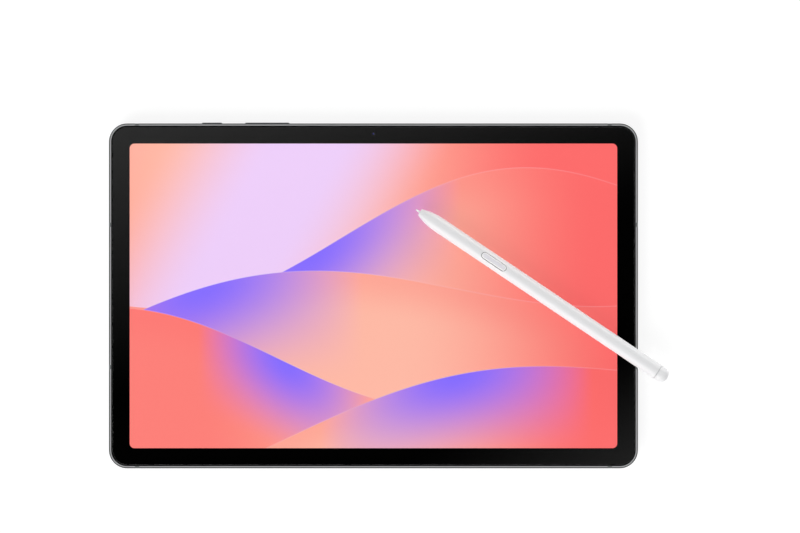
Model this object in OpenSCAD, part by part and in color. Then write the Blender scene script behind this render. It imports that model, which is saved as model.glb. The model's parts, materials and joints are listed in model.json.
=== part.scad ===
// Slab tablet computer with a pen lying on its screen.
// The tablet lies on its back: X runs along the long side, Y along the short side
// and Z out of the screen. The origin is the middle of the flat back face.

/* [Body] */
// Width of the housing, along the long side
body_w = 254.3; // [254:0.1:266]
// Depth of the housing, along the short side
body_d = 165.8; // [165:0.1:178]
// Thickness from the back face to the glass
body_t = 6.6; // [6.55:0.05:7.3]
// Radius of the housing's corners, seen from the front
corner_r = 8.7; // [8.5:0.1:10]
// Metal rim that shows round the glass
rim_w = 1.1; // [1.1:0.05:1.5]
// Side wall under the glass
wall_t = 2.6; // [2.4:0.05:2.7]
// Step in the side wall that the mid plate sits on
seat_w = 0.8; // [0.7:0.05:0.95]
// Back wall
back_t = 0.9; // [0.8:0.05:0.95]
// Rounding between the back face and the sides
back_edge_r = 1.6; // [0.8:0.1:1.6]
// Rounding along the top of the rim
rim_edge_r = 0.25; // [0.2:0.05:0.5]
// How far the rim lies below the glass
rim_drop = 0.1; // [0.05:0.05:0.25]

/* [Antenna strips] */
// Width of the plastic strips let into the metal
strip_w = 2; // [1.6:0.1:2.2]
// Middle of a strip from the edge of the housing
strip_in = 4.85; // [4.8:0.05:5.2]
// Where a strip leaves through the long side, from the corner's edge
strip_exit = 13.5; // [13:0.1:14.5]
// Branches to the short side, from the middle of that side
strip_branch = 34.2; // [31:0.1:36]
// Radius of the bend before a strip leaves
strip_bend = 1.5; // [1.2:0.1:1.6]

/* [Display] */
// Black border at the short sides, from the edge of the housing to the lit picture
bezel_x = 9.65; // [9.6:0.05:14]
// Black border at the long sides, from the edge of the housing to the lit picture
bezel_y = 9.4; // [9.4:0.05:13]
// Corner radius of the lit picture
screen_r = 2.4; // [1:0.1:5]
// Cover glass
glass_t = 0.65; // [0.5:0.05:0.7]
// Rounding of the glass edge
glass_edge_r = 0.35; // [0.15:0.05:0.45]
// Black print under the glass
mask_t = 0.05; // [0.03:0.01:0.06]
// Adhesive between glass and housing
bond_t = 0.1; // [0.08:0.01:0.12]
// Liquid crystal cell
cell_t = 0.6; // [0.5:0.05:0.65]
// Border of the cell round the lit picture
cell_border = 1.7; // [1:0.1:1.7]
// Depth of the backlight tray
tray_h = 0.8; // [0.6:0.05:0.85]
// Sheet metal of the backlight tray
tray_t = 0.15; // [0.1:0.05:0.2]
// Side of the backlight tray
tray_side = 0.4; // [0.3:0.1:0.8]
// Width of the light bar inside the tray
led_bar_d = 2; // [1.5:0.1:3]
// Lights on the bar
led_count = 28; // [10:1:40]
// Pen digitizer sheet
digitizer_t = 0.25; // [0.15:0.05:0.3]
// Mid plate
plate_t = 0.3; // [0.25:0.05:0.35]
// Radius of the clear spot over the front camera
front_spot_r = 1.1; // [0.8:0.1:1.3]

/* [Battery] */
// Room beside and below the cells
cell_room = 2.5; // [2:0.1:4]
// Thickness of a cell
battery_t = 2.8; // [2.4:0.05:2.85]
// Gap between the two cells
cell_gap = 1; // [0.5:0.1:2]

/* [Boards] */
// Main board
board_t = 0.8; // [0.6:0.05:0.9]
// Height of the board posts
board_lift = 0.7; // [0.5:0.05:0.75]
// Height of the shield cans
can_h = 1.25; // [1.1:0.05:1.3]
// Port board
port_board_t = 0.7; // [0.5:0.05:0.75]
// Flexible circuits
flex_t = 0.15; // [0.1:0.01:0.2]

/* [Port] */
// Width of the socket shell
usb_w = 8.94; // [8.9:0.02:9.2]
// Height of the socket shell
usb_h = 3.16; // [3.1:0.02:3.2]
// Depth of the socket shell
usb_depth = 7.35; // [6.8:0.05:7.4]
// Sheet metal of the socket shell
usb_wall = 0.3; // [0.2:0.05:0.4]
// Tongue inside the socket
tongue_t = 0.7; // [0.6:0.05:0.8]

/* [Keys] */
// Middle of the power key from the left edge
power_from_edge = 49.4; // [48:0.1:51]
// Length of the power key
power_l = 9.8; // [8:0.1:11]
// Middle of the volume key from the left edge
volume_from_edge = 76; // [75:0.1:78]
// Length of the volume key
volume_l = 21.4; // [18:0.1:22]
// Height of the keys
key_h = 2.2; // [1.8:0.1:2.4]
// How far the keys stand out
key_proud = 0.5; // [0.3:0.05:0.6]
// Travel of the power key
key_travel = 0.3; // [0.2:0.02:0.3]
// Wall in front of a key's flange
key_wall = 1.4; // [1.2:0.05:1.5]
// Thickness of a key's flange
key_flange_t = 0.5; // [0.4:0.05:0.55]

/* [Card tray] */
// Middle of the card tray from the middle of the right side
card_from_middle = 52; // [50:0.5:54]
// Length of the tray's face
card_face_l = 17; // [17:0.1:18]
// Height of the tray's face
card_face_h = 2; // [1.8:0.1:2.2]
// Length of the whole tray
card_tray_l = 20.5; // [20:0.1:21]
// Width of the tray behind its face
card_body_w = 13; // [12.6:0.1:13]
// Thickness of the tray behind its face
card_body_t = 1.4; // [1.2:0.05:1.5]
// Radius of the hole for the eject pin
pin_hole_r = 0.45; // [0.4:0.05:0.55]

/* [Speakers] */
// Middle of a speaker grille from the edge below it
grille_from_edge = 30.9; // [28.5:0.1:32]
// Length of a speaker
speaker_l = 36; // [30:0.5:36]
// Width of a speaker
speaker_w = 16.4; // [14:0.1:16.4]
// Holes in a grille
grille_count = 9; // [5:1:9]
// Radius of a grille hole
grille_hole_r = 0.55; // [0.4:0.05:0.7]
// Distance between grille holes
grille_pitch = 2.1; // [1.8:0.05:2.2]
// Wall that the grille holes go through
grille_wall = 1.2; // [0.9:0.05:1.3]

/* [Rear camera] */
// Camera from the short side's edge
camera_from_side = 16.2; // [15.8:0.1:18]
// Camera from the long side's edge
camera_from_top = 15.4; // [15.2:0.1:17]
// Outer radius of the ring
ring_r = 7; // [6.6:0.1:7.2]
// Radius of the round window
window_r = 5.45; // [5.2:0.05:5.6]
// How far the ring stands out of the back
ring_proud = 1; // [0.6:0.05:1.3]
// Radius of the clear middle of the camera
aperture_r = 1.5; // [1.2:0.1:1.8]
// Focus travel of the lens
focus_travel = 0.2; // [0.1:0.02:0.22]

/* [Keyboard contacts] */
// Length of the contact block
contact_l = 17.8; // [16:0.2:20]
// Height of the contact block
contact_h = 2.4; // [2.2:0.1:2.6]
// Radius of a contact
contact_r = 0.75; // [0.6:0.05:0.9]
// Distance between contacts
contact_pitch = 5; // [4:0.1:6]

/* [Pen] */
// Length from tip to tail
pen_l = 145.3; // [140:0.1:155]
// Outer radius of the barrel
pen_r = 3.7; // [3.65:0.05:4.2]
// Middle of the pen from its flat underside
pen_flat = 3.2; // [3.15:0.05:3.5]
// Where the nose reaches its full width, from the tip
pen_nose_l = 13; // [12:0.5:20]
// Radius of the nose's front edge
pen_front_r = 1.65; // [1.5:0.05:1.8]
// Nib that shows
nib_out = 2.3; // [1.8:0.1:3]
// Radius of the nib's shaft
nib_r = 0.55; // [0.45:0.05:0.6]
// Nib travel
nib_travel = 0.4; // [0.2:0.05:0.45]
// Length of the end cap
end_cap_l = 5.6; // [4.6:0.1:7]
// Middle of the side button from the tip
button_at = 45; // [44:0.1:55]
// Length of the opening for the side button
button_slot_l = 13.9; // [12:0.1:15]
// Width of the opening for the side button
button_slot_w = 3.3; // [3:0.1:3.4]
// How far the side button stands out
button_proud = 0.25; // [0.1:0.05:0.3]
// Gap round the side button
button_gap = 0.14; // [0.08:0.02:0.16]
// Side button travel
button_travel = 0.3; // [0.2:0.02:0.3]
// Tip of the pen, right of the middle of the screen
pen_tip_x = 20.4; // [0:0.1:30]
// Tip of the pen, above the middle of the screen
pen_tip_y = 41.5; // [20:0.1:50]
// Angle that the pen lies at
pen_angle = 33.9; // [20:0.1:45]

/* [Fits] */
// Gap round the glass, which a black gasket fills
glass_gap = 0.45; // [0.3:0.05:0.5]
// How far the gasket lies below the rim
gasket_drop = 0.15; // [0.1:0.05:0.25]
// Gap round what slides or presses
slide_gap = 0.12; // [0.1:0.01:0.15]
// Gap round what is fixed in a hole
seat_gap = 0.05; // [0.02:0.01:0.08]
// Adhesive under the battery and the boards
pad_t = 0.1; // [0.05:0.01:0.15]

/* [Hidden] */
$fn = 64;
past = 1;               // how far a cutting tool runs past what it cuts
slit = 0.01;            // overlap that joins two shapes of one solid

// sides of the housing
east = body_w / 2;
north = body_d / 2;

// levels of the display stack, from the glass down to the mid plate
rim_top = body_t - rim_drop;
z_glass = body_t - glass_t;
print_gap = 0.01;
z_mask = z_glass - print_gap - mask_t;
z_ledge = z_mask - bond_t;
z_cell = z_mask - cell_t;
z_tray = z_cell - tray_h;
z_digitizer = z_tray - digitizer_t;
z_plate = z_digitizer - plate_t;
z_middle = body_t / 2;

// half sizes of the cavity, above and below the seat of the mid plate
cav_x = east - wall_t;
cav_y = north - wall_t;
low_x = cav_x - seat_w;
low_y = cav_y - seat_w;
cav_r = corner_r - wall_t;
low_r = cav_r - seat_w;

// display module
print_in = rim_w + glass_gap + 0.1;
screen_w = body_w - 2 * bezel_x;
screen_d = body_d - 2 * bezel_y;
module_w = screen_w + 2 * cell_border;
module_d = screen_d + 2 * cell_border;
module_r = 1;
front_camera_y = north - 4.9;
front_camera_w = 6.2;
front_camera_d = 4;
front_camera_h = z_ledge - z_plate - 0.1;
led_x = (module_w - 2 * tray_side) / 2 - 0.3;
display_flex_w = 14;
display_flex_x = -east + 103;
display_flex_out = 2.6;
display_flex_end = 14;

// posts and screws of the mid plate
post_r = 1.8;
post_y = low_y - 1.6;
screw_r = 0.55;
screw_hole_r = 0.62;
screw_head_r = 1.2;
screw_head_h = 0.35;
screw_l = 2.2;
post_end = 18;
post_step = 28;
post_by_camera = 36;
post_by_flex = display_flex_x - display_flex_w / 2 - 2.3;
post_by_contacts = contact_l / 2 + 7.1;
north_posts = [
    -east + post_end, -east + post_by_camera, post_by_flex, 12, 47, east - post_end - post_step,
    east - post_end
];
south_posts = [
    -east + post_end, -east + post_end + 1.5 * post_step, -post_by_contacts, post_by_contacts,
    east - post_end - 1.5 * post_step, east - post_end
];
north_post_spots = [for (x = north_posts) [x, post_y]];
south_post_spots = [for (x = south_posts) [x, -post_y]];
post_spots = concat(north_post_spots, south_post_spots);

// main board, placed from the top left corner of the housing
z_board = back_t + board_lift;
z_board_top = z_board + board_t;
board_strip_top = -26.9;
board_strip_end = -body_d + grille_from_edge + speaker_l / 2 + 10;
board_strip = [7.65, board_strip_end, 26, board_strip_top - board_strip_end];
board_wing = [30.15, -42.9, 117, 33.5];
board_hole_in = 4.1;
board_post_r = 1.6;
board_screws = [
    [11.5, board_strip_top - board_hole_in], [11.5, board_strip_end + board_hole_in],
    [34, board_wing[1] + board_wing[3] - board_hole_in],
    [board_wing[0] + board_wing[2] - board_hole_in, board_wing[1] + board_wing[3] - board_hole_in],
    [board_wing[0] + board_wing[2] - board_hole_in, board_wing[1] + board_hole_in],
    [52.2, board_wing[1] + board_hole_in]
];
cans = [[56, -41.2, 36.5, 26], [94, -41.2, 28, 26], [11, -68, 20, 30]];
can_t = 0.15;
spreader_t = 0.1;
spreader_in = 4.5;
processor_at = [66, -25.5];
processor_size = [14, 14, 0.95];
memory_at = [[83, -25.5], [103, -26.5]];
memory_size = [11.5, 13, 0.9];
support_at = [
    [65, -37, 7, 5.5], [76, -37, 5, 5], [86, -35.5, 4, 4], [115, -24, 6, 6],
    [106, -37.5, 8, 4], [20, -47, 9, 9], [25.5, -60, 5, 5], [15.5, -60, 4, 6]
];
support_h = 0.8;

// battery, between the main board and the port board
port_board_x = -23.2;
battery_x = -east + board_strip[0] + board_strip[2] + 2 * cell_room + 0.95;
battery_y = -low_y + 2 * cell_room;
battery_z = back_t + pad_t;
battery_end_x = east + port_board_x - cell_room;
battery_end_y = north + board_wing[1] - cell_room - 6;
cell_w = (battery_end_x - battery_x - cell_gap) / 2;
cell_d = battery_end_y - battery_y;
guard_w = 60;
guard_d = 4;
guard_h = 1.4;
guard_part_h = 0.6;
battery_flex_w = 12;
battery_flex_x = -east + board_wing[0] + 93.4;
battery_flex_y = battery_end_y + guard_d - 1;
battery_flex_lap = 3;

// port board, placed from the right side
port_board_w = 18.6;
port_board_y = -16;
port_board_d = card_from_middle + 12 - port_board_y;
link_flex_in = 18;
link_flex_d = 8;
link_flex_lap = 4;
z_port_top = z_middle - usb_h / 2;
usb_recess = 0.15;
port_board_edge = -port_board_x - port_board_w;

// keys
power_x = -east + power_from_edge;
volume_x = -east + volume_from_edge;
key_flange_more = 0.7;
rock_gap = 0.35;
nub_r = 0.7;
nub_l = 0.4;
dome_r = 1.3;
volume_nub = 7.5;
rib_r = 0.45;
key_pocket_h = 3.9;
bracket_t = 0.5;
bracket_l = volume_x - power_x + (power_l + volume_l) / 2 + 4;
bracket_x = (power_x - power_l / 2 + volume_x + volume_l / 2) / 2;
flange_back = key_wall + rock_gap + key_flange_t;
dome_top = flange_back + nub_l + key_travel + 0.05;
flex_front = max(dome_top + 0.3, wall_t + seat_w + 0.05);
bracket_back = flex_front + flex_t + bracket_t;
bracket_tab = 2.4;

// card tray
card_z = z_middle - 0.35;
card_face_t = 1.3;
card_offset = 1.2;
card_pin_x = card_face_l / 2 - 1.9;
card_pocket_l = 15.2;
card_pocket_w = 11.2;
cage_t = 0.12;
cage_gap = 0.1;
seal_l = 0.7;
seal_out = 0.3;
rod_r = 0.45;
lever_t = 0.6;
lever_reach = 5;
lever_pivot = 2.4;

// speakers
speaker_h = 2.7;
speaker_more = 2;
grille_y = -north + grille_from_edge;
mic_x = 28;
mic_y = 12;
mic_r = 0.4;
mic_down = 0.4;
magnet_w = 2.6;
magnet_h = 2.2;
grille_l = 20.6;
grille_h = 2.6;
mesh_t = 0.15;

// rear camera
camera_x = -east + camera_from_side;
camera_y = north - camera_from_top;
ring_in = window_r - 0.35;
ring_edge_r = 0.6;
ring_flange = 0.9;
ring_flange_t = 0.3;
window_t = 0.6;
camera_box = 9.6;
camera_top = z_plate - 0.1;
z_camera_box = back_t + ring_flange_t + seat_gap;
lens_r = 3.2;
lens_glass_r = 1.35;
z_window = -ring_proud + 0.1;
z_front_plate = z_window + window_t + 0.05;
z_lens = z_front_plate + 0.4 + focus_travel + 0.05;

// pen
pen_bore_r = 2.75;
pen_taper = pen_r - pen_front_r;
pen_nose_arc = ((pen_nose_l - nib_out) * (pen_nose_l - nib_out) + pen_taper * pen_taper) / (2 * pen_taper);
pen_end_r = pen_r - 0.3;
pen_seam = 0.15;
pen_z = body_t + seat_gap + pen_flat;
pen_bore_x = pen_nose_l - 2;
ferrite_l = 12;
nib_l = pen_bore_x + ferrite_l + 1.5;
sensor_l = 3;
pen_board_x = nib_l + nib_travel + 0.1 + sensor_l;
pen_board_l = 62;
pen_board_t = 0.6;
button_foot = 2;

// ---- shapes that repeat ----

// Rectangle with round corners, centred
module rounded_rect(w, d, r) {
    square([w - 2 * r, d], center = true);
    square([w, d - 2 * r], center = true);
    for (sx = [-1, 1], sy = [-1, 1])
        translate([sx * (w / 2 - r), sy * (d / 2 - r)]) circle(r);
}

// Rectangle with half-round ends, centred and long in X
module pill(l, w) {
    square([l - w, w], center = true);
    for (s = [-1, 1]) translate([s * (l - w) / 2, 0]) circle(w / 2);
}

module slab(w, d, r, h) linear_extrude(h) rounded_rect(w, d, r);

module quarter_disc(r) intersection() {
    circle(r);
    square(r);
}

// Half section of a slab with a rounded bottom edge and a rounded top edge
module edge_profile(r, h, bottom_r, top_r) {
    square([r - bottom_r, h / 2]);
    translate([0, bottom_r]) square([r, h - bottom_r - top_r]);
    translate([0, h / 2]) square([r - top_r, h / 2]);
    if (bottom_r > 0) translate([r - bottom_r, bottom_r]) mirror([0, 1]) quarter_disc(bottom_r);
    if (top_r > 0) translate([r - top_r, h - top_r]) quarter_disc(top_r);
}

// Slab whose edge profile is swept round its four corners and four sides
module rounded_block(w, d, r, h, bottom_r, top_r) {
    translate([-w / 2 + r, -d / 2 + r, 0]) cube([w - 2 * r, d - 2 * r, h]);
    for (turn = [0, 180]) rotate([0, 0, turn]) {
        translate([w / 2 - r, d / 2 - r, 0]) {
            rotate([90, 0, 0]) linear_extrude(d - 2 * r) edge_profile(r, h, bottom_r, top_r);
            rotate_extrude(angle = 90) edge_profile(r, h, bottom_r, top_r);
        }
        translate([-w / 2 + r, d / 2 - r, 0]) rotate([0, 0, 90]) {
            rotate([90, 0, 0]) linear_extrude(w - 2 * r) edge_profile(r, h, bottom_r, top_r);
            rotate_extrude(angle = 90) edge_profile(r, h, bottom_r, top_r);
        }
    }
}

// Places on the four sides: X runs along the side, Y is up and Z points out of it
module on_north(x, z) translate([x, north, z]) rotate([90, 0, 180]) children();
module on_south(x, z) translate([x, -north, z]) rotate([90, 0, 0]) children();
module on_east(y, z) translate([east, y, z]) rotate([90, 0, 90]) children();
module on_west(y, z) mirror([1, 0, 0]) on_east(y, z) children();

// Solid from depth "from" to depth "to" behind the surface, of the given outline
module behind(from, to) translate([0, 0, -to]) linear_extrude(to - from) children();

// Quarter of a ring of middle radius r
module quarter_band(r, w, start) {
    rotate(start) intersection() {
        difference() {
            circle(r + w / 2);
            circle(r - w / 2);
        }
        square(r + w);
    }
}

// ---- housing ----

// Path of one antenna strip, seen from the front, on the right-hand side
module strip_outline() {
    for (s = [0, 1]) mirror([0, s]) {
        translate([east - strip_in - strip_w / 2, -slit]) square([strip_w, north - corner_r + slit]);
        translate([east - corner_r, north - corner_r]) quarter_band(corner_r - strip_in, strip_w, 0);
        translate([east - strip_exit + strip_bend, north - strip_in - strip_w / 2])
            square([strip_exit - strip_bend - corner_r, strip_w]);
        translate([east - strip_exit + strip_bend, north - strip_in + strip_bend])
            quarter_band(strip_bend, strip_w, 180);
        translate([east - strip_exit - strip_w / 2, north - strip_in + strip_bend])
            square([strip_w, strip_in - strip_bend + past]);
        translate([east - strip_in, strip_branch - strip_w / 2]) square([strip_in + past, strip_w]);
    }
}

// Everything outside the middle of that strip
module edge_outline() {
    translate([east - strip_in, -north + corner_r]) square([strip_in + past, body_d - 2 * corner_r]);
    for (s = [0, 1]) mirror([0, s]) {
        translate([east - corner_r, north - corner_r]) difference() {
            square(corner_r + past);
            circle(corner_r - strip_in);
        }
        translate([east - strip_exit, north - strip_in]) square([strip_exit - corner_r, strip_in + past]);
    }
}

module strip_zone() translate([0, 0, -past]) linear_extrude(body_t + 2 * past) strip_outline();
module edge_zone() translate([0, 0, -past]) linear_extrude(body_t + 2 * past) edge_outline();

// Slot, pocket and flange space for one key
module key_cut(x, l) on_north(x, z_middle) {
    translate([0, 0, -key_wall - slit]) linear_extrude(key_wall + past)
        pill(l + 2 * slide_gap, key_h + 2 * slide_gap);
    behind(key_wall, wall_t + seat_w + past)
        square([l + 2 * key_flange_more + 1.2, key_pocket_h], center = true);
}

module grille_cut() {
    translate([0, 0, -grille_wall - slit]) linear_extrude(grille_wall + past)
        for (i = [0:grille_count - 1]) translate([(i - (grille_count - 1) / 2) * grille_pitch, 0])
            circle(grille_hole_r);
    behind(grille_wall, wall_t + seat_w + past) square([grille_l + 0.4, grille_h + 0.4], center = true);
}

module card_cut() on_east(card_from_middle, card_z) {
    translate([0, 0, -card_face_t - seat_gap]) linear_extrude(card_face_t + past)
        pill(card_face_l + 2 * slide_gap, card_face_h + 2 * slide_gap);
    behind(card_face_t, card_face_t + seal_l + 0.2) translate([-card_offset, 0])
        square([card_body_w + 2 * seal_out, card_body_t + 2 * seal_out], center = true);
    behind(card_face_t, wall_t + seat_w + past) translate([-card_offset, 0])
        square([card_body_w + 2 * slide_gap, card_body_t + 2 * slide_gap], center = true);
    behind(card_face_t, wall_t + seat_w + past) translate([card_pin_x, 0]) circle(rod_r + slide_gap);
}

// Whole metal and plastic shell before it is divided
module housing_shell() difference() {
    rounded_block(body_w, body_d, corner_r, rim_top, back_edge_r, rim_edge_r);
    translate([0, 0, back_t]) slab(2 * low_x, 2 * low_y, low_r, body_t);
    translate([0, 0, z_plate]) slab(2 * cav_x, 2 * cav_y, cav_r, body_t);
    translate([0, 0, z_ledge]) slab(body_w - 2 * rim_w, body_d - 2 * rim_w, corner_r - rim_w, body_t);
    translate([camera_x, camera_y, -past]) cylinder(r = ring_r + seat_gap, h = back_t + 2 * past);
    key_cut(power_x, power_l);
    key_cut(volume_x, volume_l);
    on_east(0, z_middle) behind(-past, wall_t + seat_w + past)
        pill(usb_w + 2 * seat_gap, usb_h + 2 * seat_gap);
    on_east(grille_y, z_middle) grille_cut();
    on_west(grille_y, z_middle) grille_cut();
    card_cut();
    on_south(0, z_middle) behind(-past, wall_t + seat_w + past)
        pill(contact_l + 2 * seat_gap, contact_h + 2 * seat_gap);
    on_north(mic_x, z_middle - mic_down) behind(-past, wall_t + seat_w + past) circle(mic_r);
    on_west(mic_y, z_middle - mic_down) behind(-past, wall_t + seat_w + past) circle(mic_r);
}

module plate_posts() for (p = post_spots) translate([p[0], p[1], back_t - slit]) difference() {
        cylinder(r = post_r, h = z_plate - back_t + slit);
        translate([0, 0, z_plate - back_t + slit - screw_l]) cylinder(r = screw_hole_r, h = screw_l + past);
    }

module board_posts() for (p = board_screws)
    translate([p[0] - east, p[1] + north, back_t - slit]) difference() {
        cylinder(r = board_post_r, h = board_lift + slit);
        translate([0, 0, slit + 0.1]) cylinder(r = screw_hole_r, h = board_lift + past);
    }

module rear_housing() color([0.36, 0.37, 0.38]) {
    difference() {
        housing_shell();
        for (s = [0, 1]) mirror([s, 0, 0]) {
            strip_zone();
            edge_zone();
        }
    }
    plate_posts();
    board_posts();
}

module edge_sections(side) difference() {
    intersection() {
        housing_shell();
        mirror([side, 0, 0]) edge_zone();
    }
    mirror([side, 0, 0]) strip_zone();
}

module antenna_strip(side) intersection() {
    housing_shell();
    mirror([side, 0, 0]) strip_zone();
}

module left_edge_sections() color([0.36, 0.37, 0.38]) edge_sections(1);
module right_edge_sections() color([0.36, 0.37, 0.38]) edge_sections(0);
module left_antenna_strip() color([0.25, 0.26, 0.27]) antenna_strip(1);
module right_antenna_strip() color([0.25, 0.26, 0.27]) antenna_strip(0);

// ---- display ----

module cover_glass() color([0.6, 0.7, 0.75, 0.4]) translate([0, 0, z_glass])
    rounded_block(body_w - 2 * (rim_w + glass_gap), body_d - 2 * (rim_w + glass_gap),
        corner_r - rim_w - glass_gap, glass_t, 0, glass_edge_r);

// Outline of the housing moved inwards
module inner_outline(by) rounded_rect(body_w - 2 * by, body_d - 2 * by, corner_r - by);

module border_mask() color([0.02, 0.02, 0.02]) translate([0, 0, z_mask]) linear_extrude(mask_t)
    difference() {
        inner_outline(print_in);
        rounded_rect(screen_w, screen_d, screen_r);
        translate([0, front_camera_y]) circle(front_spot_r);
    }

// Adhesive under the border print, with a gasket lip that stands up round the glass
module display_adhesive() color([0.1, 0.1, 0.1]) translate([0, 0, z_ledge]) {
    linear_extrude(bond_t) difference() {
        inner_outline(rim_w + seat_gap);
        rounded_rect(2 * cav_x, 2 * cav_y, cav_r);
    }
    linear_extrude(rim_top - gasket_drop - z_ledge) difference() {
        inner_outline(rim_w + seat_gap);
        inner_outline(rim_w + glass_gap - seat_gap);
    }
}

module lcd_cell() color([0.95, 0.55, 0.5]) translate([0, 0, z_cell])
    slab(module_w, module_d, module_r, cell_t);

module backlight_tray() color([0.75, 0.76, 0.78]) translate([0, 0, z_tray]) difference() {
    slab(module_w, module_d, module_r, tray_h);
    translate([0, 0, tray_t])
        slab(module_w - 2 * tray_side, module_d - 2 * tray_side, module_r - tray_side, tray_h);
}

module light_guide() color([0.85, 0.9, 0.95]) {
    d = module_d - 2 * tray_side - led_bar_d - 0.4;
    translate([-led_x, module_d / 2 - tray_side - 0.1 - d, z_tray + tray_t])
        cube([2 * led_x, d, tray_h - tray_t - 0.05]);
}

module backlight_leds() color([0.9, 0.85, 0.5]) {
    y = -module_d / 2 + tray_side + 0.1;
    pitch = 2 * led_x / led_count;
    translate([-led_x, y, z_tray + tray_t]) cube([2 * led_x, led_bar_d, 0.15]);
    for (i = [0:led_count - 1])
        translate([-led_x + (i + 0.5) * pitch - 1.5, y + led_bar_d - 0.8, z_tray + tray_t + 0.15 - slit])
            cube([3, 0.8, 0.35]);
}

module digitizer_sheet() color([0.15, 0.35, 0.2]) translate([0, 0, z_digitizer])
    slab(screen_w + 2, screen_d + 2, module_r, digitizer_t);

// Flexible circuit from the top edge of the cell, round a bend and back to the main board
module display_flex() color([0.75, 0.5, 0.2]) {
    r = 0.5;
    top = z_mask - 0.25;
    low = z_board_top + 0.05;
    y = module_d / 2;
    side = display_flex_x + display_flex_w / 2;
    translate([side, 0, 0]) rotate([0, -90, 0]) linear_extrude(display_flex_w) {
        translate([top, y]) square([flex_t, display_flex_out - r]);
        translate([top - r + flex_t / 2, y + display_flex_out - r]) quarter_band(r, flex_t, 0);
        translate([low + r + flex_t / 2, y + display_flex_out - flex_t / 2])
            square([top - low - 2 * r, flex_t]);
        translate([low + r + flex_t / 2, y + display_flex_out - r]) quarter_band(r, flex_t, 90);
        translate([low, north - display_flex_end])
            square([flex_t, y + display_flex_out - r - north + display_flex_end]);
    }
}

// ---- mid plate ----

module plate_notches() {
    translate([bracket_x, north]) square([bracket_l + 1, 2 * (bracket_back + 0.2)], center = true);
    translate([0, front_camera_y + 2]) square([front_camera_w + 0.6, front_camera_d + 4.4], center = true);
    translate([display_flex_x, module_d / 2 + display_flex_out])
        square([display_flex_w + 1, 2.4], center = true);
    translate([east, 0]) square([2 * (usb_depth + 0.5), usb_w + 0.8], center = true);
    translate([0, -north]) square([contact_l + 3, 2 * (wall_t + seat_w + 1)], center = true);
}

module mid_plate() color([0.7, 0.71, 0.73]) translate([0, 0, z_plate]) linear_extrude(plate_t)
    difference() {
        rounded_rect(2 * (cav_x - seat_gap), 2 * (cav_y - seat_gap), cav_r);
        plate_notches();
        for (p = post_spots) translate(p) circle(screw_hole_r);
    }

module screw(l) {
    cylinder(r = screw_head_r, h = screw_head_h);
    translate([0, 0, -l]) cylinder(r = screw_r, h = l + slit);
}

module mid_plate_screws() color([0.2, 0.2, 0.2]) translate([0, 0, z_plate + plate_t])
    for (p = post_spots) translate(p) screw(screw_l);

module heat_spreader() color([0.2, 0.2, 0.22])
    translate([-east + board_wing[0] + board_wing[2] / 2, north + board_wing[1] + board_wing[3] / 2, 0])
        translate([0, 0, z_plate - spreader_t])
            slab(board_wing[2] - 2 * spreader_in, board_wing[3] - 2 * spreader_in, 2, spreader_t);

// ---- battery ----

module battery_cells() color([0.12, 0.12, 0.13]) for (i = [0, 1])
    translate([battery_x + cell_w / 2 + i * (cell_w + cell_gap), battery_y + cell_d / 2, battery_z])
        rounded_block(cell_w, cell_d, 3, battery_t, 0.5, 0.5);

module battery_circuit_board() color([0.1, 0.3, 0.2])
    translate([battery_x + cell_w - guard_w / 2, battery_y + cell_d + 0.1, battery_z]) {
        cube([guard_w, guard_d, guard_h - guard_part_h]);
        for (i = [0:4]) translate([4 + i * 11, 0.5, guard_h - guard_part_h - slit])
            cube([6, 2, guard_part_h]);
    }

module battery_flex() color([0.75, 0.5, 0.2])
    translate([battery_flex_x, battery_flex_y, 0]) rotate([90, 0, 90]) linear_extrude(battery_flex_w) {
        z = z_board_top + 0.05;
        foot = battery_z + guard_h - guard_part_h;
        translate([0, foot]) square([flex_t, z - foot]);
        translate([0, z]) square([north + board_wing[1] + battery_flex_lap - battery_flex_y, flex_t]);
    }

// ---- boards ----

module main_board() color([0.05, 0.25, 0.35]) translate([-east, north, z_board]) linear_extrude(board_t)
    difference() {
        union() {
            translate([board_strip[0], board_strip[1]]) square([board_strip[2], board_strip[3]]);
            translate([board_wing[0], board_wing[1]]) square([board_wing[2], board_wing[3]]);
        }
        for (p = board_screws) translate(p) circle(screw_hole_r + 0.1);
        translate([board_strip[0], board_strip_end + 19]) circle(3);
        translate([board_wing[0] + board_wing[2], board_wing[1] + 10.9]) circle(3);
    }

module on_board() translate([-east, north, z_board_top]) children();

module chip(at, size) translate([at[0] - size[0] / 2, at[1] - size[1] / 2, 0]) cube(size);

module processor() color([0.1, 0.1, 0.1]) on_board() chip(processor_at, processor_size);

module memory_chips() color([0.12, 0.12, 0.12]) on_board() for (p = memory_at) chip(p, memory_size);

module support_chips() color([0.15, 0.15, 0.15]) on_board()
    for (c = support_at) chip([c[0], c[1]], [c[2], c[3], support_h]);

module shield_cans() color([0.78, 0.79, 0.8]) on_board() for (c = cans)
    translate([c[0], c[1], 0]) difference() {
        cube([c[2], c[3], can_h]);
        translate([can_t, can_t, -past]) cube([c[2] - 2 * can_t, c[3] - 2 * can_t, can_h + past - can_t]);
    }

module main_board_screws() color([0.2, 0.2, 0.2]) on_board()
    for (p = board_screws) translate([p[0], p[1], 0]) screw(board_t + board_lift - 0.2);

module port_board() color([0.05, 0.25, 0.35])
    translate([east + port_board_x, port_board_y, z_port_top - port_board_t])
        cube([port_board_w, port_board_d, port_board_t]);

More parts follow.
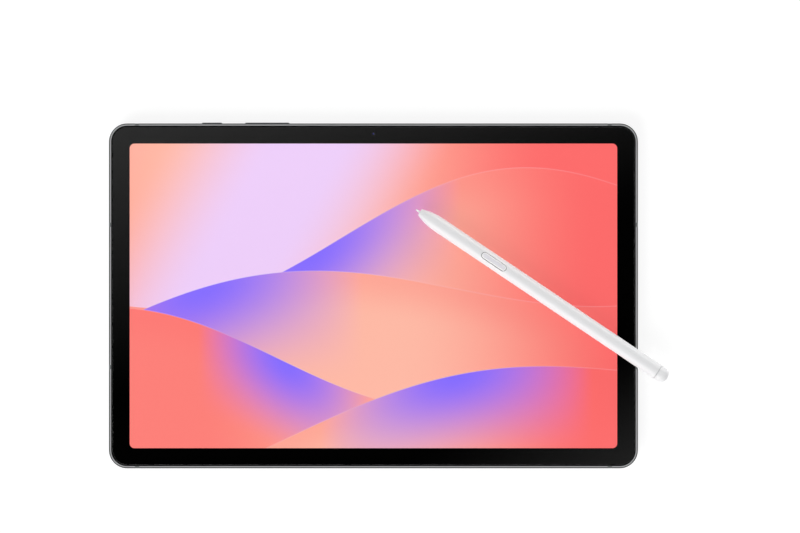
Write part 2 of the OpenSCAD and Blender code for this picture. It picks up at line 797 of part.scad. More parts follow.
// Flexible circuit that lies on the back wall and climbs to both boards
module interconnect_flex() color([0.75, 0.5, 0.2]) {
    x0 = -east + board_wing[0] + board_wing[2];
    x1 = east + port_board_x;
    low = back_t + pad_t;
    on_main = z_board_top + 0.05;
    on_port = z_port_top + 0.05;
    translate([0, north - link_flex_in, 0]) rotate([90, 0, 0]) linear_extrude(link_flex_d) {
        translate([x0 - link_flex_lap, on_main]) square([link_flex_lap + 1, flex_t]);
        translate([x0 + 1 - slit, low]) square([flex_t, on_main + flex_t - low]);
        translate([x0 + 1 - slit, low]) square([x1 - x0 - 2, flex_t]);
        translate([x1 - 1 - flex_t, low]) square([flex_t, on_port + flex_t - low]);
        translate([x1 - 1 - flex_t, on_port]) square([link_flex_lap - 1, flex_t]);
    }
}

// ---- port ----

module usb_shell() color([0.7, 0.71, 0.72]) on_east(0, z_middle) difference() {
    behind(usb_recess, usb_recess + usb_depth) pill(usb_w, usb_h);
    behind(usb_recess - past, usb_recess + usb_depth - usb_wall)
        pill(usb_w - 2 * usb_wall, usb_h - 2 * usb_wall);
}

module usb_tongue() color([0.05, 0.05, 0.05]) on_east(0, z_middle) {
    behind(usb_recess + 1.2, usb_recess + usb_depth - usb_wall)
        square([usb_w - 2.25, tongue_t], center = true);
    behind(usb_recess + usb_depth - usb_wall - 1.6, usb_recess + usb_depth - usb_wall)
        pill(usb_w - 2 * usb_wall - 2 * seat_gap, usb_h - 2 * usb_wall - 2 * seat_gap);
}

// ---- speakers ----

module speaker() {
    z_box = back_t + pad_t - z_middle;
    difference() {
        translate([-speaker_l / 2 - speaker_more, z_box, -wall_t - seat_w - seat_gap - speaker_w])
            cube([speaker_l, speaker_h, speaker_w]);
        translate([-speaker_more, z_box + speaker_h - 0.3, -wall_t - seat_w - speaker_w / 2])
            rotate([-90, 0, 0]) linear_extrude(past) pill(speaker_l - 8, speaker_w - 5);
    }
    behind(wall_t - seat_gap, wall_t + seat_w + 1) translate([-grille_l / 2, -grille_h / 2])
        square([grille_l, z_plate - 0.1 - z_middle + grille_h / 2]);
    behind(grille_wall + mesh_t, wall_t - seat_gap + slit) square([grille_l, grille_h], center = true);
}

module left_speaker() color([0.08, 0.08, 0.08]) on_west(grille_y, z_middle) speaker();
module right_speaker() color([0.08, 0.08, 0.08]) on_east(grille_y, z_middle) speaker();

module speaker_meshes() color([0.05, 0.05, 0.05]) {
    on_east(grille_y, z_middle) behind(grille_wall, grille_wall + mesh_t)
        square([grille_l, grille_h], center = true);
    on_west(grille_y, z_middle) behind(grille_wall, grille_wall + mesh_t)
        square([grille_l, grille_h], center = true);
}

// ---- rear camera ----

module at_camera() translate([camera_x, camera_y, 0]) children();

module rear_camera_ring() color([0.42, 0.43, 0.44]) at_camera() rotate_extrude() difference() {
    union() {
        translate([ring_in, -ring_proud]) square([ring_r - ring_in - ring_edge_r, ring_proud + back_t]);
        translate([ring_r - ring_edge_r, -ring_proud + ring_edge_r]) circle(ring_edge_r);
        translate([ring_in, -ring_proud + ring_edge_r])
            square([ring_r - ring_in, ring_proud + back_t - ring_edge_r]);
        translate([ring_in, back_t]) square([ring_r - ring_in + ring_flange, ring_flange_t]);
    }
    translate([0, -ring_proud - past]) square([window_r + seat_gap, past + 0.1 + window_t]);
}

module rear_camera_window() color([0.1, 0.1, 0.12, 0.5]) at_camera() translate([0, 0, z_window])
    cylinder(r = window_r, h = window_t);

module rear_camera_body() color([0.03, 0.03, 0.03]) at_camera() difference() {
    union() {
        translate([0, 0, z_front_plate])
            cylinder(r = ring_in - seat_gap, h = z_camera_box - z_front_plate + slit);
        translate([-camera_box / 2, -camera_box / 2, z_camera_box])
            cube([camera_box, camera_box, camera_top - z_camera_box]);
    }
    translate([0, 0, z_front_plate - past]) cylinder(r = aperture_r, h = 2 * past);
    translate([0, 0, z_front_plate - slit]) cylinder(r1 = aperture_r + 0.5, r2 = aperture_r, h = 0.3);
    translate([0, 0, z_front_plate + 0.4])
        cylinder(r = lens_r + 0.08, h = camera_top - z_front_plate - 0.8);
}

module rear_lens_barrel() color([0.05, 0.05, 0.05]) at_camera() difference() {
    translate([0, 0, z_lens]) cylinder(r = lens_r, h = camera_top - z_lens - 0.5);
    translate([0, 0, z_lens - slit]) cylinder(r1 = lens_glass_r + 0.45, r2 = lens_glass_r + 0.05, h = 0.3);
    translate([0, 0, z_lens - past]) cylinder(r = lens_glass_r + 0.05, h = past + 0.9);
}

module rear_lens_glass() color([0.15, 0.15, 0.4, 0.6]) at_camera() intersection() {
    translate([0, 0, z_lens + 0.2]) cylinder(r = lens_glass_r, h = 0.7);
    translate([0, 0, z_lens + 0.2 + 2.4]) sphere(r = 2.4);
}

// ---- front camera ----

module front_camera_body() color([0.04, 0.04, 0.04]) translate([0, front_camera_y, 0]) difference() {
    union() {
        translate([-front_camera_w / 2, -front_camera_d / 2, z_ledge - front_camera_h])
            cube([front_camera_w, front_camera_d, front_camera_h]);
        translate([0, 0, z_ledge - slit]) cylinder(r = 1.5, h = bond_t - seat_gap + slit);
    }
    translate([0, 0, z_mask - seat_gap - 0.6]) cylinder(r1 = 0.7, r2 = 1.05, h = 0.6 + slit);
    translate([0, 0, z_mask - seat_gap - 1.2]) cylinder(r = 0.7, h = 1);
}

module front_camera_lens() color([0.1, 0.12, 0.3, 0.6])
    translate([0, front_camera_y, z_mask - seat_gap - 1.2]) intersection() {
        cylinder(r = 0.7 - 0.02, h = 0.75);
        translate([0, 0, -0.45]) sphere(r = 1.2);
    }

// ---- keys ----

module key(l, nubs) on_north(0, z_middle) {
    translate([0, 0, -key_wall - rock_gap - slit])
        rounded_key_face(l, key_wall + rock_gap + key_proud + slit);
    behind(key_wall + rock_gap, flange_back) pill(l + 2 * key_flange_more, key_h + 0.8);
    for (x = nubs) translate([x, 0, 0]) behind(flange_back - slit, flange_back + nub_l) circle(nub_r);
}

// Key cap with a softened outer edge
module rounded_key_face(l, h) {
    linear_extrude(h - 0.15) pill(l, key_h);
    linear_extrude(h) pill(l - 0.3, key_h - 0.3);
}

module power_key() color([0.4, 0.41, 0.42]) translate([power_x, 0, 0]) key(power_l, [0]);
// The volume key rocks on a round rib across the back of its flange
module volume_key() color([0.4, 0.41, 0.42]) translate([volume_x, 0, 0]) {
    key(volume_l, [-volume_nub, volume_nub]);
    on_north(0, z_middle) translate([0, key_h / 2, -flange_back]) rotate([90, 0, 0])
        cylinder(r = rib_r, h = key_h);
}

module key_switch_flex() color([0.75, 0.5, 0.2]) {
    on_north(bracket_x, z_middle) behind(flex_front, flex_front + flex_t)
        translate([-bracket_l / 2, -1.3]) square([bracket_l, 2.6]);
    for (x = [power_x, volume_x - volume_nub, volume_x + volume_nub])
        on_north(x, z_middle) behind(dome_top, flex_front + slit) circle(dome_r);
}

module key_bracket() color([0.72, 0.73, 0.75]) on_north(bracket_x, 0) {
    behind(flex_front + flex_t, bracket_back)
        translate([-bracket_l / 2, back_t]) square([bracket_l, z_middle + 1.5 - back_t]);
    for (s = [-1, 1]) translate([s * (bracket_l + bracket_tab) / 2, 0, 0])
        behind(wall_t + seat_w + 0.02, bracket_back)
            translate([-bracket_tab / 2 - slit, back_t]) square([bracket_tab + 2 * slit, 2]);
}

// ---- card tray ----

module card_tray() color([0.4, 0.41, 0.42]) on_east(card_from_middle, card_z) difference() {
    union() {
        behind(0, card_face_t) pill(card_face_l, card_face_h);
        behind(card_face_t - slit, card_tray_l) translate([-card_offset, 0])
            square([card_body_w, card_body_t], center = true);
    }
    translate([card_pin_x, 0, -card_face_t - past]) cylinder(r = pin_hole_r, h = card_face_t + 2 * past);
    translate([-card_offset, 0, 0]) {
        behind(card_tray_l - 1 - card_pocket_l, card_tray_l - 1)
            translate([-card_pocket_w / 2, -card_body_t / 2 + 0.4]) square([card_pocket_w, card_body_t]);
        behind(card_tray_l - card_pocket_l, card_tray_l - 2.2)
            square([card_pocket_w - 2.4, 2 * card_body_t], center = true);
    }
}

module card_tray_seal() color([0.1, 0.1, 0.1]) on_east(card_from_middle, card_z)
    behind(card_face_t + 0.05, card_face_t + 0.05 + seal_l) translate([-card_offset, 0]) difference() {
        square([card_body_w + 2 * seal_out - 0.1, card_body_t + 2 * seal_out - 0.1], center = true);
        square([card_body_w + 0.04, card_body_t + 0.04], center = true);
    }

// Sheet metal guide on the port board, open at both ends
module card_reader() color([0.78, 0.79, 0.8]) on_east(card_from_middle, card_z)
    translate([-card_offset, 0, 0]) {
        inner_w = card_body_w + 2 * slide_gap;
        inner_t = card_body_t + 2 * cage_gap;
        difference() {
            behind(wall_t + seat_w + 0.1, card_tray_l + 0.2)
                square([inner_w + 2 * cage_t, inner_t + 2 * cage_t], center = true);
            behind(0, card_tray_l + past) square([inner_w, inner_t], center = true);
            behind(card_tray_l - 12, card_tray_l - 3) translate([-4, 0]) square([8, 3]);
        }
        for (s = [-1, 1]) translate([s * (inner_w / 2 - 0.5), 0, 0]) behind(port_board_edge, card_tray_l - 1)
            translate([-0.5, z_port_top - card_z])
                square([1, card_z - z_port_top - inner_t / 2 - cage_t + slit]);
    }

// Push rod behind the pin hole and the lever that it turns
module eject_lever() color([0.6, 0.61, 0.62]) on_east(card_from_middle, card_z) {
    lever_at = card_tray_l + 1.5;
    behind(card_face_t + 0.6, lever_at - 0.3) translate([card_pin_x, 0]) circle(rod_r);
    translate([0, 0.3, -lever_at]) rotate([90, 0, 0]) linear_extrude(lever_t) {
        translate([(card_pin_x - lever_reach) / 2, 0]) pill(card_pin_x + lever_reach + 2, 1);
        translate([lever_pivot, 0]) circle(0.9);
    }
    translate([lever_pivot, 0.3 - slit, -lever_at]) rotate([90, 0, 0])
        cylinder(r = 0.5, h = card_z - z_port_top + 0.3 - slit);
}

// ---- keyboard contacts, microphones and magnets ----

module keyboard_contact_block() color([0.06, 0.06, 0.06]) on_south(0, z_middle) difference() {
    union() {
        behind(0.1, wall_t + seat_w + 0.3) pill(contact_l, contact_h);
        behind(wall_t + seat_w + 0.05, wall_t + seat_w + 0.8) pill(contact_l + 1.6, contact_h + 1);
    }
    for (i = [-1:1]) translate([i * contact_pitch, 0, 0]) behind(-past, 6) circle(contact_r + seat_gap);
}

module keyboard_contact_pins() color([0.85, 0.7, 0.35]) on_south(0, z_middle) for (i = [-1:1])
    translate([i * contact_pitch, 0, 0]) {
        behind(0.25, wall_t + seat_w + 1) circle(contact_r);
        translate([0, 0, -0.25 - slit]) cylinder(r1 = contact_r, r2 = contact_r - 0.2, h = 0.15 + slit);
    }

module microphone() behind(wall_t + seat_w + seat_gap, wall_t + seat_w + 1.3) translate([-1.9, -1.3])
    square([3.8, 2.2]);

module microphones() color([0.75, 0.72, 0.5]) {
    on_north(mic_x, z_middle - mic_down) microphone();
    on_west(mic_y, z_middle - mic_down) microphone();
}

module magnet(l) behind(wall_t + seat_w + 0.1, wall_t + seat_w + 0.1 + magnet_w) translate([-l / 2, 0])
    square([l, magnet_h]);

module cover_magnets() color([0.5, 0.5, 0.52]) {
    for (x = [-40, 40]) on_south(x, back_t + seat_gap) magnet(16);
    for (y = [34, -14]) on_west(y, back_t + seat_gap) magnet(14);
}

// ---- pen, drawn along X from its tip ----

module in_pen() translate([pen_tip_x, pen_tip_y, pen_z]) rotate([0, 0, -pen_angle]) children();
module turned() rotate([90, 0, 90]) rotate_extrude() children();
module above_flat() intersection() {
    children();
    translate([-past, -pen_r - past, -pen_flat]) cube([pen_l + 2 * past, 2 * (pen_r + past), 3 * pen_r]);
}

module pen_barrel() color([0.93, 0.93, 0.94]) in_pen() difference() {
    above_flat() turned() union() {
        translate([0, pen_nose_l]) square([pen_r, pen_l - end_cap_l - pen_nose_l]);
        intersection() {
            translate([0, nib_out]) square([pen_r, pen_nose_l - nib_out]);
            translate([pen_r - pen_nose_arc, pen_nose_l]) circle(pen_nose_arc, $fn = 256);
        }
    }
    turned() {
        square([nib_r + slide_gap, pen_l - past]);
        translate([0, pen_bore_x]) square([pen_bore_r, pen_l]);
    }
    translate([button_at, 0, pen_bore_r / 2]) linear_extrude(pen_r) pill(button_slot_l, button_slot_w);
}

module pen_end_cap() color([0.93, 0.93, 0.94]) in_pen() above_flat() turned() {
    translate([0, pen_l - end_cap_l + pen_seam]) square([pen_r, end_cap_l - pen_seam - pen_end_r]);
    translate([0, pen_l - end_cap_l + pen_seam]) square([pen_r - pen_end_r, end_cap_l - pen_seam]);
    translate([pen_r - pen_end_r, pen_l - pen_end_r])
        polygon(concat([[0, 0]], [for (a = [0:5:90]) pen_end_r * [cos(a), sin(a)]]));
    translate([0, pen_l - end_cap_l - 4]) square([pen_bore_r - seat_gap, 4 + pen_seam]);
}

module pen_button() color([0.88, 0.88, 0.9]) in_pen() {
    intersection() {
        translate([button_at, 0, pen_bore_r - 0.5]) linear_extrude(pen_r)
            pill(button_slot_l - 2 * button_gap, button_slot_w - 2 * button_gap);
        rotate([0, 90, 0]) cylinder(r = pen_r + button_proud, h = pen_l);
    }
    translate([button_at, 0, button_foot]) linear_extrude(0.45)
        pill(button_slot_l + 1.4, button_slot_w - 1.1);
}

module pen_nib() color([0.9, 0.9, 0.92]) in_pen() turned() {
    translate([0, 0.35]) circle_half(0.35);
    polygon([[0, 0.35], [0.35, 0.35], [nib_r, nib_out - 0.3], [nib_r, nib_l], [0, nib_l]]);
}

// Right half of a circle, for turning
module circle_half(r) intersection() {
    circle(r);
    translate([0, -r]) square([r, 2 * r]);
}

module pen_ferrite() color([0.2, 0.2, 0.2]) in_pen() turned()
    translate([nib_r + slide_gap, pen_bore_x + 0.1]) square([0.8, ferrite_l]);

module pen_coil() color([0.75, 0.4, 0.2]) in_pen() turned() {
    r0 = nib_r + slide_gap + 0.8 + 0.02;
    translate([r0, pen_bore_x + 1.1]) square([pen_bore_r - r0 - 0.35, ferrite_l - 2]);
    for (s = [0, 1]) translate([r0, pen_bore_x + 0.1 + s * (ferrite_l - 1)])
        square([pen_bore_r - r0 - seat_gap, 1 + slit]);
}

module pen_pressure_sensor() color([0.3, 0.3, 0.32]) in_pen() turned()
    translate([0, nib_l + nib_travel + 0.05]) square([pen_bore_r - seat_gap, sensor_l]);

module pen_board() color([0.05, 0.3, 0.2]) in_pen() {
    w = pen_bore_r - 0.25;
    translate([pen_board_x, -w, -pen_board_t / 2]) cube([pen_board_l, 2 * w, pen_board_t]);
    translate([button_at - 2, -1.5, pen_board_t / 2 - slit])
        cube([4, 3, button_foot - button_travel - 0.1 - pen_board_t / 2]);
    translate([pen_board_x + 30, -1.6, pen_board_t / 2 - slit]) cube([8, 3.2, 0.9]);
    translate([pen_board_x + 44, -1.2, pen_board_t / 2 - slit]) cube([10, 2.4, 1.2]);
}

// ---- parts to draw ----

rear_housing();
left_edge_sections();
right_edge_sections();
left_antenna_strip();
right_antenna_strip();
cover_glass();
border_mask();
display_adhesive();
lcd_cell();
light_guide();
backlight_tray();
backlight_leds();
digitizer_sheet();
display_flex();
mid_plate();
mid_plate_screws();
heat_spreader();
battery_cells();
battery_circuit_board();
battery_flex();
main_board();
processor();
memory_chips();
support_chips();
shield_cans();
main_board_screws();
port_board();
interconnect_flex();
usb_shell();
usb_tongue();
left_speaker();
right_speaker();
speaker_meshes();
rear_camera_ring();
rear_camera_window();
rear_camera_body();
rear_lens_barrel();
rear_lens_glass();
front_camera_body();
front_camera_lens();
power_key();
volume_key();
key_switch_flex();
key_bracket();
card_tray();
card_tray_seal();
card_reader();
eject_lever();
keyboard_contact_block();
keyboard_contact_pins();
microphones();
cover_magnets();
pen_barrel();
pen_end_cap();
pen_button();
pen_nib();
pen_ferrite();
pen_coil();
pen_pressure_sensor();
pen_board();
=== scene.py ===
# Slab tablet computer on its back with a pen on its screen: finishes, fine parts, lamps and camera.
# Everything is in metres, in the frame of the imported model.
import json
import math
import bmesh
import bpy
import numpy as np
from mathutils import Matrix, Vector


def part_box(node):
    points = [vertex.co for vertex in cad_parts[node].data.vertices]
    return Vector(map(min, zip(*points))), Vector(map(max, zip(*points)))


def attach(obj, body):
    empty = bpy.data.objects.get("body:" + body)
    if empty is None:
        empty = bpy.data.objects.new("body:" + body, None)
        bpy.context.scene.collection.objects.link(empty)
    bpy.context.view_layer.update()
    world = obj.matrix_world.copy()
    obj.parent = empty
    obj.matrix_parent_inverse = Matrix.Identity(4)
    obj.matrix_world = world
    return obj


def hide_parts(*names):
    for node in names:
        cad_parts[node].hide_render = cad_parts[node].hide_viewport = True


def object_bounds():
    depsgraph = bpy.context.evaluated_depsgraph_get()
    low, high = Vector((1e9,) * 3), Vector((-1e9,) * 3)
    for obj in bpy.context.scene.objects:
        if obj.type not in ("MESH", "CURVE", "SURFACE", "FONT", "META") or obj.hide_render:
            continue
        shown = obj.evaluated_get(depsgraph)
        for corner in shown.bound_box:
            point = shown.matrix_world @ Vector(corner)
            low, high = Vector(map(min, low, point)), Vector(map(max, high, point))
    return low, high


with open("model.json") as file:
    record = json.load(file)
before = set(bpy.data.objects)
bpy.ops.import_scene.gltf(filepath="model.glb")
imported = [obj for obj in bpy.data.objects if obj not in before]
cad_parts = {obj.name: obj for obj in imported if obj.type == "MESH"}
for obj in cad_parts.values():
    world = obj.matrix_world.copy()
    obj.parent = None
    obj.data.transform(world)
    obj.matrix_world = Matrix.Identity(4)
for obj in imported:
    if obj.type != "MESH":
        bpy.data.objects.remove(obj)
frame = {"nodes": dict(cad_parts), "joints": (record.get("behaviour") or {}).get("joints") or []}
nodes = frame["nodes"]
cadLow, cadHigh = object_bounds()
mm = 0.001


def boxOf(name):
    low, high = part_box(name)
    return np.array(low), np.array(high)


def middleOf(name):
    low, high = boxOf(name)
    return (low + high) / 2


penAxis = np.array(next(j["axis"] for j in frame["joints"] if j["name"] == "pen_nib_press"))
penTurn = math.atan2(penAxis[1], penAxis[0])
penAcross = np.array([-penAxis[1], penAxis[0], 0.0])
cameraSpot = middleOf("rear_camera_ring")
print("frame loaded:", len(nodes), "nodes")


def formula(operation):
    # an operator that adds one Math node
    return lambda a, b=None: a.sheet.math(operation, a, b)


class Value:
    # a node's output, for use in formulas

    def __init__(self, sheet, socket):
        self.sheet, self.socket = sheet, socket

    def __rsub__(self, other):
        return self.sheet.math("SUBTRACT", other, self)

    __add__, __sub__, __mul__ = formula("ADD"), formula("SUBTRACT"), formula("MULTIPLY")
    __truediv__, __pow__, __abs__ = formula("DIVIDE"), formula("POWER"), formula("ABSOLUTE")


class Sheet:
    # one node tree with short ways to add and join nodes

    def __init__(self, tree, material=None):
        self.tree, self.material = tree, material
        if material:
            self.shader = self.node("ShaderNodeBsdfPrincipled")
            self.out = self.node("ShaderNodeOutputMaterial")
            self.join(self.shader.outputs[0], self.out.inputs[0])

    def node(self, kind, **settings):
        made = self.tree.nodes.new(kind)
        for key, value in settings.items():
            setattr(made, key, value)
        return made

    def join(self, value, socket):
        if isinstance(value, Value):
            value = value.socket
        if isinstance(value, bpy.types.NodeSocket):
            self.tree.links.new(value, socket)
        elif value is not None:
            socket.default_value = (*value, 1.0) if socket.type == "RGBA" else value

    def put(self, label, value):
        # a number, a colour or another node's output for the Principled shader
        self.join(value, self.shader.inputs[label])

    def read(self, kind, inputs=None, **settings):
        # a new node with its named inputs joined, read by the names of its outputs
        made = self.node(kind, **settings)
        for key, value in (inputs or {}).items():
            self.join(value, made.inputs[key])
        return {socket.name: Value(self, socket) for socket in made.outputs}

    def first(self, made, *values):
        # joins a node's inputs in order and gives its first output
        for value, socket in zip(values, made.inputs):
            self.join(value, socket)
        return Value(self, made.outputs[0])

    def math(self, operation, *values):
        return self.first(self.node("ShaderNodeMath", operation=operation), *values)

    def most(self, a, b):
        return self.math("MAXIMUM", a, b)

    def least(self, a, b):
        return self.math("MINIMUM", a, b)

    def size(self, a, b):
        # length of the vector (a, b)
        return self.math("SQRT", a * a + b * b)

    def step(self, value, low, high, toLow=0.0, toHigh=1.0):
        made = self.node("ShaderNodeMapRange", interpolation_type="SMOOTHSTEP")
        return self.first(made, value, low, high, toLow, toHigh)

    def mix(self, factor, a, b, blend="MIX"):
        made = self.node("ShaderNodeMix", data_type="RGBA", blend_type=blend)
        for i, value in ((0, factor), (6, a), (7, b)):
            self.join(value, made.inputs[i])
        return Value(self, made.outputs[2])

    def shaded(self, colour, shade):
        # a colour times a number that changes over the surface
        return self.mix(1.0, colour, self.point(shade, shade, shade), "MULTIPLY")

    def place(self):
        return self.read("ShaderNodeTexCoord")["Object"]

    def axes(self, vector=None):
        parts = self.read("ShaderNodeSeparateXYZ", {"Vector": vector or self.place()})
        return parts["X"], parts["Y"], parts["Z"]

    def point(self, x, y, z=0.0):
        return self.first(self.node("ShaderNodeCombineXYZ"), x, y, z)

    def moved(self, centre, turn=0.0, stretch=(1.0, 1.0, 1.0)):
        # coordinates from a centre, turned about Z so that X runs along the part, then stretched
        spot = self.place()
        back = [-float(c) for c in centre]
        for key, value in (("Location", back), ("Rotation", (0.0, 0.0, -turn)), ("Scale", stretch)):
            spot = self.read("ShaderNodeMapping", {"Vector": spot, key: value})["Vector"]
        return spot

    def fromRounded(self, halfX, halfY, corner, vector=None):
        # distance from a rounded rectangle, with q = |p| - half + corner:
        # length(max(q, 0)) + min(max(qx, qy), 0) - corner
        x, y, _ = self.axes(vector)
        qx, qy = abs(x) - (halfX - corner), abs(y) - (halfY - corner)
        outside = self.size(self.most(qx, 0.0), self.most(qy, 0.0))
        return outside + self.least(self.most(qx, qy), 0.0) - corner

    def noise(self, vector, scale, detail=2.0, rough=0.5):
        values = {"Vector": vector, "Scale": scale, "Detail": detail, "Roughness": rough}
        return self.read("ShaderNodeTexNoise", values)["Fac"]

    def bump(self, height, strength=0.3, distance=0.00005):
        values = {"Strength": strength, "Distance": distance, "Height": height}
        return self.read("ShaderNodeBump", values)["Normal"]

    def group(self, tree, **values):
        return self.read("ShaderNodeGroup", values, node_tree=tree)

    def clearWhere(self, factor):
        # the surface lets everything through where the factor is 1
        solid, clear = self.shader.outputs[0], self.node("ShaderNodeBsdfTransparent").outputs[0]
        mixed = self.first(self.node("ShaderNodeMixShader"), factor, solid, clear)
        self.join(mixed, self.out.inputs[0])


def grey(v):
    return (v, v, v)


def srgb(*display):
    # display numbers from 0 to 255 to linear light
    c = np.array(display) / 255.0
    return tuple(np.where(c <= 0.04045, c / 12.92, ((c + 0.055) / 1.055) ** 2.4).tolist())


def newMaterial(name):
    # a material with one Principled shader on its output, as a sheet
    material = bpy.data.materials.new(name)
    material.use_nodes = True
    material.node_tree.nodes.clear()
    return Sheet(material.node_tree, material)


def newGroup(name, inputs, outputs):
    # a node group with numbers in and out: its tree, its sheet and its two ends
    tree = bpy.data.node_groups.new(name, "ShaderNodeTree")
    new = tree.interface.new_socket
    for label, value in inputs.items():
        new(name=label, in_out="INPUT", socket_type="NodeSocketFloat").default_value = value
    for label in outputs:
        new(name=label, in_out="OUTPUT", socket_type="NodeSocketFloat")
    sheet = Sheet(tree)
    return tree, sheet, sheet.read("NodeGroupInput"), sheet.node("NodeGroupOutput").inputs


def dress(material, *names):
    for name in names:
        slots = nodes[name].data.materials
        if len(slots) == 0:
            slots.append(material)
        for i in range(len(slots)):
            slots[i] = material


# shared effects, each built once as a node group

def makeGrain():
    # two sizes of noise, given as a height and as a tint round 1
    values = {"Scale": 4000.0, "Tint": 0.05}
    tree, sheet, start, end = newGroup("fineGrain", values, ["Height", "Shade"])
    spot = sheet.place()
    fine = sheet.noise(spot, start["Scale"], 3.0)
    broad = sheet.noise(spot, 60.0, 3.0, 0.6)
    mixed = fine * 0.6 + broad * 0.4
    sheet.join(fine, end["Height"])
    sheet.join((mixed - 0.5) * start["Tint"] + 1.0, end["Shade"])
    return tree


def makeMarks():
    # faint smears and hairlines from handling, as a mask from 0 to 1
    tree, sheet, start, end = newGroup("handlingMarks", {"Amount": 1.0}, ["Mask"])
    smear = sheet.step(sheet.noise(sheet.place(), 38.0, 4.0, 0.65), 0.5, 0.78)
    streaks = sheet.noise(sheet.moved((0, 0, 0), 0.4, (18.0, 900.0, 900.0)), 1.0, 1.0)
    hair = sheet.step(streaks, 0.7, 0.76)
    both = sheet.most(smear * 0.6, hair * 0.5)
    sheet.join(both * start["Amount"], end["Mask"])
    return tree


def makeLines():
    # straight lines a pitch apart, turned in the plane: 1 on a line, and a rounded height across it
    values = {"Pitch": 0.0005, "Fill": 0.5, "Turn": 0.0}
    tree, sheet, start, end = newGroup("lineField", values, ["Mask", "Height"])
    x, y, _ = sheet.axes()
    across = x * sheet.math("COSINE", start["Turn"]) + y * sheet.math("SINE", start["Turn"])
    part = sheet.math("FRACT", across / start["Pitch"])
    away = abs(part - 0.5) * 2.0
    sheet.join(sheet.step(away, start["Fill"], start["Fill"] - 0.12), end["Mask"])
    sheet.join(sheet.math("SQRT", sheet.most(1.0 - away * away, 0.0)), end["Height"])
    return tree


def makeDots():
    # round dots on a square grid, 1 inside a dot
    tree, sheet, start, end = newGroup("dotField", {"Pitch": 0.001, "Size": 0.0003}, ["Mask"])
    x, y, _ = sheet.axes()
    offs = [sheet.math("FRACT", v / start["Pitch"]) - 0.5 for v in (x, y)]
    away = sheet.size(*offs) * start["Pitch"]
    sheet.join(sheet.step(away, start["Size"], start["Size"] * 0.8), end["Mask"])
    return tree


def makeCreases():
    # thin film with soft creases: distance to the edges of warped cells, as a height that the films
    # also use for painted shade
    tree, sheet, start, end = newGroup("filmCreases", {"Scale": 120.0}, ["Height"])
    spot = sheet.place()
    warp = sheet.noise(spot, 90.0, 3.0)
    x, y, z = sheet.axes(spot)
    push = (warp - 0.5) * 0.012
    warped = sheet.point(x + push, y - push, z)
    cells = sheet.read("ShaderNodeTexVoronoi", {"Vector": warped, "Scale": start["Scale"]},
                       feature="DISTANCE_TO_EDGE")
    crease = sheet.step(cells["Distance"], 0.0, 0.14)
    sheet.join(crease * 0.7 + warp * 0.3, end["Height"])
    return tree


fineGrain, handlingMarks, filmCreases = makeGrain(), makeMarks(), makeCreases()
lineField, dotField = makeLines(), makeDots()
print("shared effects made")


# blasted metal: shell, keys, card tray and camera ring

shellHigh = np.maximum(boxOf("rear_housing")[1], boxOf("right_edge_sections")[1])
shellLook = {"colour": (0.250, 0.262, 0.272), "rough": 0.36, "grain": 6400.0, "tint": 0.18,
             "halfX": float(shellHigh[0]), "halfY": float(shellHigh[1]), "top": float(shellHigh[2]),
             "corner": 0.0087,
             "rimColour": (0.86, 0.87, 0.878), "rimDepth": 0.0003,
             "rimWidth": float(shellHigh[0] - boxOf("display_adhesive")[1][0]),
             # colour and widths of the rim's two dark lines, which are painted shade
             "shadeLineColour": (0.075, 0.078, 0.081), "outerShadeWidth": 0.0005, "innerShadeWidth": 0.00017}


def blastedMetal(name, look):
    # bead-blasted anodised aluminium: tiny pits and slight mottling; the rim's face is cut bright
    # between two lines of painted shade that follow its edges
    sheet = newMaterial(name)
    grain = sheet.group(fineGrain, Scale=look["grain"], Tint=look["tint"])
    marks = sheet.group(handlingMarks, Amount=0.6)["Mask"]
    colour = sheet.shaded(look["colour"], grain["Shade"])
    rough = (grain["Height"] - 0.5) * 0.12 + look["rough"]
    if "rimColour" in look:
        _, _, z = sheet.axes()
        away = sheet.fromRounded(look["halfX"], look["halfY"], look["corner"])
        outer, inner = look["outerShadeWidth"], look["rimWidth"] - look["innerShadeWidth"]
        # painted shade: two dark lines, one near the outer edge and one by the glass
        edge = sheet.most(sheet.step(away, -outer * 1.15, -outer * 0.85),
                          sheet.step(away, -inner + 0.00005, -inner - 0.00005))
        face = sheet.step(z, look["top"] - look["rimDepth"], look["top"] - look["rimDepth"] * 0.8)
        cut = sheet.mix(edge, look["rimColour"], look["shadeLineColour"])
        colour = sheet.mix(face, colour, sheet.shaded(cut, grain["Shade"]))
        rough = sheet.most(rough, face * edge * 0.9)
    sheet.put("Base Color", colour)
    sheet.put("Metallic", 1.0)
    sheet.put("Roughness", rough - marks * 0.05)
    sheet.put("Normal", sheet.bump(grain["Height"], 0.3, 0.000010))
    return sheet.material


keyLook = {"colour": (0.31, 0.32, 0.33), "rough": 0.30, "grain": 6400.0, "tint": 0.14}
shellMetal = blastedMetal("blastedShellMetal", shellLook)
dress(shellMetal, "rear_housing", "left_edge_sections", "right_edge_sections")
dress(blastedMetal("blastedKeyMetal", keyLook), "power_key", "volume_key", "card_tray")

ringLook = {"colour": (0.30, 0.31, 0.32), "bevel": (0.62, 0.63, 0.64), "bevelRadius": 0.0058,
            "rough": 0.26, "groove": 0.00012, "soft": 0.00006}


def turnedMetal():
    # ring turned on a lathe: fine grooves round its axis, a sine of the radius
    sheet = newMaterial("turnedRingMetal")
    x, y, _ = sheet.axes(sheet.moved(cameraSpot))
    radius = sheet.size(x, y)
    wave = sheet.math("SINE", radius * (2 * math.pi / ringLook["groove"]))
    grain = sheet.group(fineGrain, Scale=6000.0, Tint=0.08)
    bevel, soft = ringLook["bevelRadius"], ringLook["soft"]
    inner = sheet.step(radius, bevel + soft, bevel - soft)
    colour = sheet.mix(inner, ringLook["colour"], ringLook["bevel"])
    sheet.put("Base Color", sheet.shaded(colour, grain["Shade"]))
    sheet.put("Metallic", 1.0)
    sheet.put("Roughness", grain["Height"] * 0.08 + ringLook["rough"])
    height = wave * 0.4 + grain["Height"]
    sheet.put("Normal", sheet.bump(height, 0.2, 0.000003))
    return sheet.material


